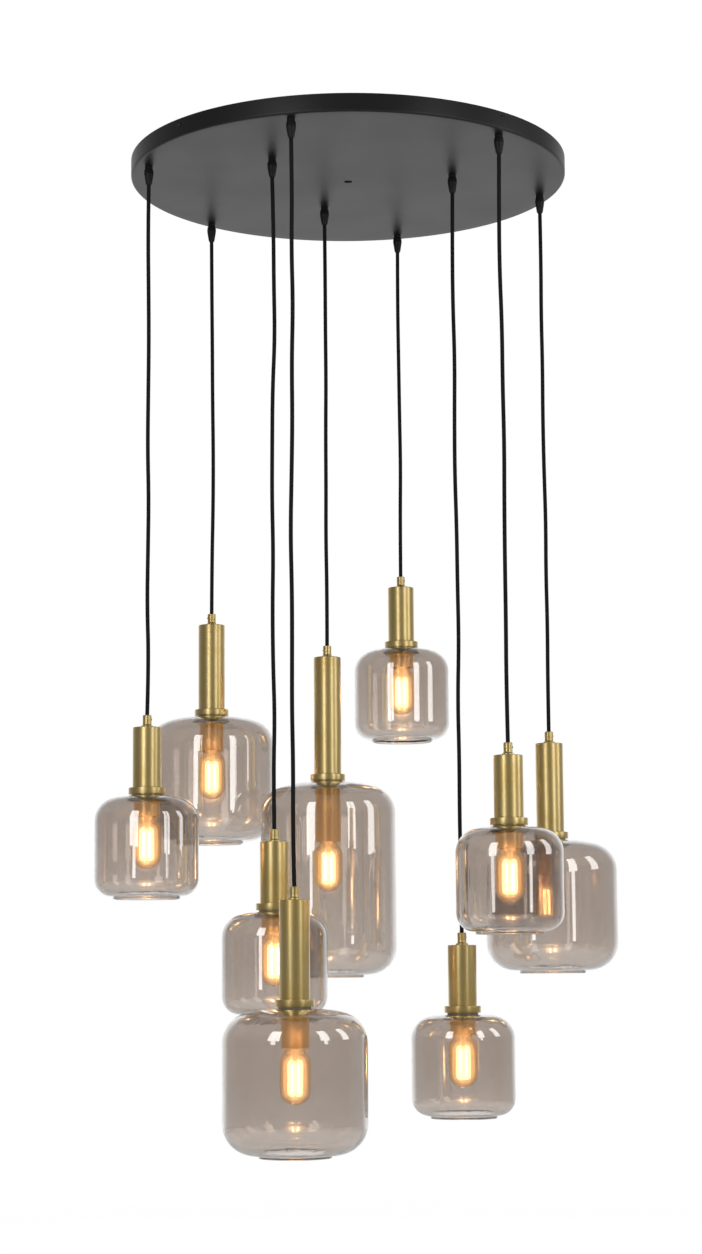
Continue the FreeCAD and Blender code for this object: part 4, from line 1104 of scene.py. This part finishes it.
# Each point: sideways along X, along Y, distance below the grip's mouth, in millimetres.
CORD_ROUTES = {
    1: [(-0.9, 0.3, 80), (0.2, -0.4, 166), (0.9, 0.2, 255), (0.2, 0.5, 338), (-0.5, -0.3, 424),
        (1.5, -0.6, 505), (0.4, 0.4, 592), (-0.6, 0.3, 673), (2.2, -0.4, 760)],
    2: [(0.4, -0.3, 88), (1.2, 0.4, 180), (1.6, -0.3, 273), (2.8, 0.3, 366), (2.5, -0.2, 459),
        (0.5, 0.4, 553)],
    3: [(0.5, 0.4, 86), (0.4, -0.5, 175), (0.9, 0.3, 266), (-0.2, 0.4, 354), (-0.1, -0.4, 443),
        (-0.9, 0.2, 531), (0.4, 0.3, 622)],
    4: [(1.8, -0.3, 82), (2.0, 0.5, 169), (3.4, 0.1, 256), (-0.4, -0.5, 340), (-1.3, 0.3, 427),
        (-1.9, -0.3, 512), (-0.2, 0.4, 597), (-1.7, -0.4, 682), (-1.1, 0.3, 768),
        (1.3, -0.3, 853), (-1.0, 0.3, 938)],
    5: [(-0.7, 0.3, 91), (0.0, -0.4, 188), (0.7, 0.3, 284), (1.7, -0.2, 379), (0.0, 0.4, 476)],
    6: [(-1.3, 0.4, 87), (-1.8, -0.3, 178), (0.6, -0.5, 270), (0.3, 0.4, 361), (1.4, 0.3, 451),
        (0.1, -0.5, 542), (-0.3, 0.3, 632), (-0.2, -0.4, 722), (-0.9, 0.3, 812)],
    7: [(0.4, -0.4, 83), (-0.7, 0.3, 171), (0.1, 0.5, 257), (-0.9, -0.3, 343), (-0.4, 0.4, 430),
        (1.0, -0.3, 515), (-0.1, 0.3, 601), (0.9, 0.4, 688), (-0.2, -0.4, 772)],
    8: [(1.1, 0.3, 82), (-0.2, -0.4, 170), (1.8, 0.3, 256), (-0.5, 0.5, 342), (0.2, -0.3, 429),
        (-1.4, 0.3, 514), (-3.3, -0.4, 600), (-1.5, 0.3, 687), (-1.7, 0.5, 772),
        (-2.3, -0.3, 858), (-0.8, 0.4, 944), (-1.6, -0.3, 1030)],
    9: [(-1.3, 0.4, 87), (-1.6, -0.3, 180), (0.3, 0.4, 271), (-1.2, -0.4, 362),
        (-1.9, 0.3, 453), (0.0, 0.5, 544), (0.2, -0.3, 635), (1.2, 0.3, 726), (-1.7, -0.4, 817),
        (-0.4, 0.4, 907), (-1.1, -0.3, 998), (-0.2, 0.3, 1089)],
}


def cord_route(pendant):
    """The spline's control points, in metres, from the grip's mouth down to the bush."""
    mouth = Vector((pendant.x, pendant.y, pendant.grip_mouth))
    entry = Vector((0, 0, CORD_ENTRY * MM))
    points = [mouth + entry]
    points += [mouth + Vector((across, along, -below)) * MM
               for across, along, below in CORD_ROUTES[pendant.number]]
    bush_top = Vector((pendant.x, pendant.y, pendant.tube_top + BUSH_HEIGHT * MM))
    return [*points, bush_top - entry]


def spline_points(points):
    """Points along the smooth spline that these control points make."""
    curve = bpy.data.curves.new("route", "CURVE")
    curve.dimensions = "3D"
    spline = curve.splines.new("NURBS")
    spline.points.add(len(points) - 1)
    for target, point in zip(spline.points, points):
        target.co = (*point, 1)
    spline.order_u = 3
    spline.use_endpoint_u = True
    spline.resolution_u = 14
    holder = bpy.data.objects.new("route", curve)
    bpy.context.collection.objects.link(holder)
    path = bpy.data.meshes.new_from_object(holder)
    found = [vertex.co.copy() for vertex in path.vertices]
    bpy.data.objects.remove(holder)
    bpy.data.curves.remove(curve)
    bpy.data.meshes.remove(path)
    return found


print("routes set for", len(CORD_ROUTES), "cords")

# %% Braid
CORD_SIDES = 16
STRANDS = 12
CROSSINGS_ALONG = 3.4


def braid_finish():
    """Two sets of threads that cross: each is a sine across a slanted direction of the UV map, and
    the one on top changes from cell to cell. The colour is darker where the threads lie low, which
    is painted shade in the grooves."""
    braid = begin("braided_cord")
    uv = braid.node("ShaderNodeUVMap", {"uv_map": "braid"}, {})
    round_cord = braid.part_of(uv, "X") * STRANDS
    along = braid.part_of(uv, "Y") * CROSSINGS_ALONG
    rising = (round_cord + along).math("FRACT")
    falling = (round_cord - along).math("FRACT")
    rise_thread = (rising * math.pi).math("SINE")
    fall_thread = (falling * math.pi).math("SINE")
    checker = braid.node("ShaderNodeTexChecker", {}, {
        "Vector": braid.node("ShaderNodeCombineXYZ", {}, {
            "X": (round_cord + along) * 0.5, "Y": (round_cord - along) * 0.5}),
        "Scale": 2.0}, "Fac")
    height = rise_thread * checker + fall_thread * (1 - checker)
    fuzz = braid.noise(braid.place(), 2600.0, 2.0)
    return complete(braid, {
        # Painted shade: the base colour darkens where the threads lie low.
        "Base Color": braid.mix(height * 0.7 + fuzz * 0.3, (0.008, 0.008, 0.008, 1),
                                (0.022, 0.022, 0.0225, 1)),
        "Roughness": 1.0, "Specular IOR Level": 0.0,
        "Normal": braid.bump(height, 0.0001, 0.25)})


braided_cord = braid_finish()


def cord_skin(points):
    """A tube whose rings follow the points, with its braid map."""
    mesh = bmesh.new()
    braid_map = mesh.loops.layers.uv.new("braid")
    made = bmesh.ops.create_circle(mesh, segments=CORD_SIDES, radius=CORD_RADIUS * MM,
                                   matrix=Matrix.Translation(points[0]))
    ring = list({edge for vertex in made["verts"] for edge in vertex.link_edges})
    first = ring
    run = 0.0
    for before, point in zip(points, points[1:]):
        step = point - before
        made = bmesh.ops.extrude_edge_only(mesh, edges=ring)
        moved = [item for item in made["geom"] if isinstance(item, bmesh.types.BMVert)]
        bmesh.ops.translate(mesh, verts=moved, vec=step)
        faces = [item for item in made["geom"] if isinstance(item, bmesh.types.BMFace)]
        for face in faces:
            middle = face.calc_center_median() - (before + step / 2)
            middle_turn = math.atan2(middle.y, middle.x)
            for corner in face.loops:
                is_low = corner.vert in moved
                arm = corner.vert.co - (point if is_low else before)
                swing = math.atan2(arm.y, arm.x) - middle_turn
                swing = (swing + math.pi) % math.tau - math.pi
                corner[braid_map].uv = ((middle_turn + swing) / math.tau,
                                        (run + (step.length if is_low else 0))
                                        / (CORD_RADIUS * 2 * MM))
        run += step.length
        ring = [item for item in made["geom"] if isinstance(item, bmesh.types.BMEdge)
                and all(vertex in moved for vertex in item.verts)]
    bmesh.ops.contextual_create(mesh, geom=first)
    bmesh.ops.contextual_create(mesh, geom=ring)
    bmesh.ops.recalc_face_normals(mesh, faces=mesh.faces)
    return mesh, run


print("braid and cord skin ready")

# %% Cords
for pendant in pendants:
    centre_line = spline_points(cord_route(pendant))
    skin, length = cord_skin(centre_line)
    cord = piece(f"textile_cord_{pendant.number}", [(skin, braided_cord)], pendant.cord_body,
                 [f"cord_{pendant.number}"])
    print(f"cord {pendant.number}: {length:.3f} m")

# %% [markdown]
# ## Inside the canopy
# Bracket, terminal box and leads keep their CAD shapes, since their flat faces and plain rounds
# are right, and get their own finishes.

# %% Finishes of the hidden parts
for node, material in {"ceiling_bracket": zinc, "terminal_box": white_plastic,
                       "inner_leads": rubber}.items():
    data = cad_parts[node].data
    data.materials.clear()
    data.materials.append(material)
    print(node, "wears", material.name)

# %% [markdown]
# ## Look
# The Standard view shows colours as they are.

# %% Look
bpy.context.scene.view_settings.view_transform = "Standard"
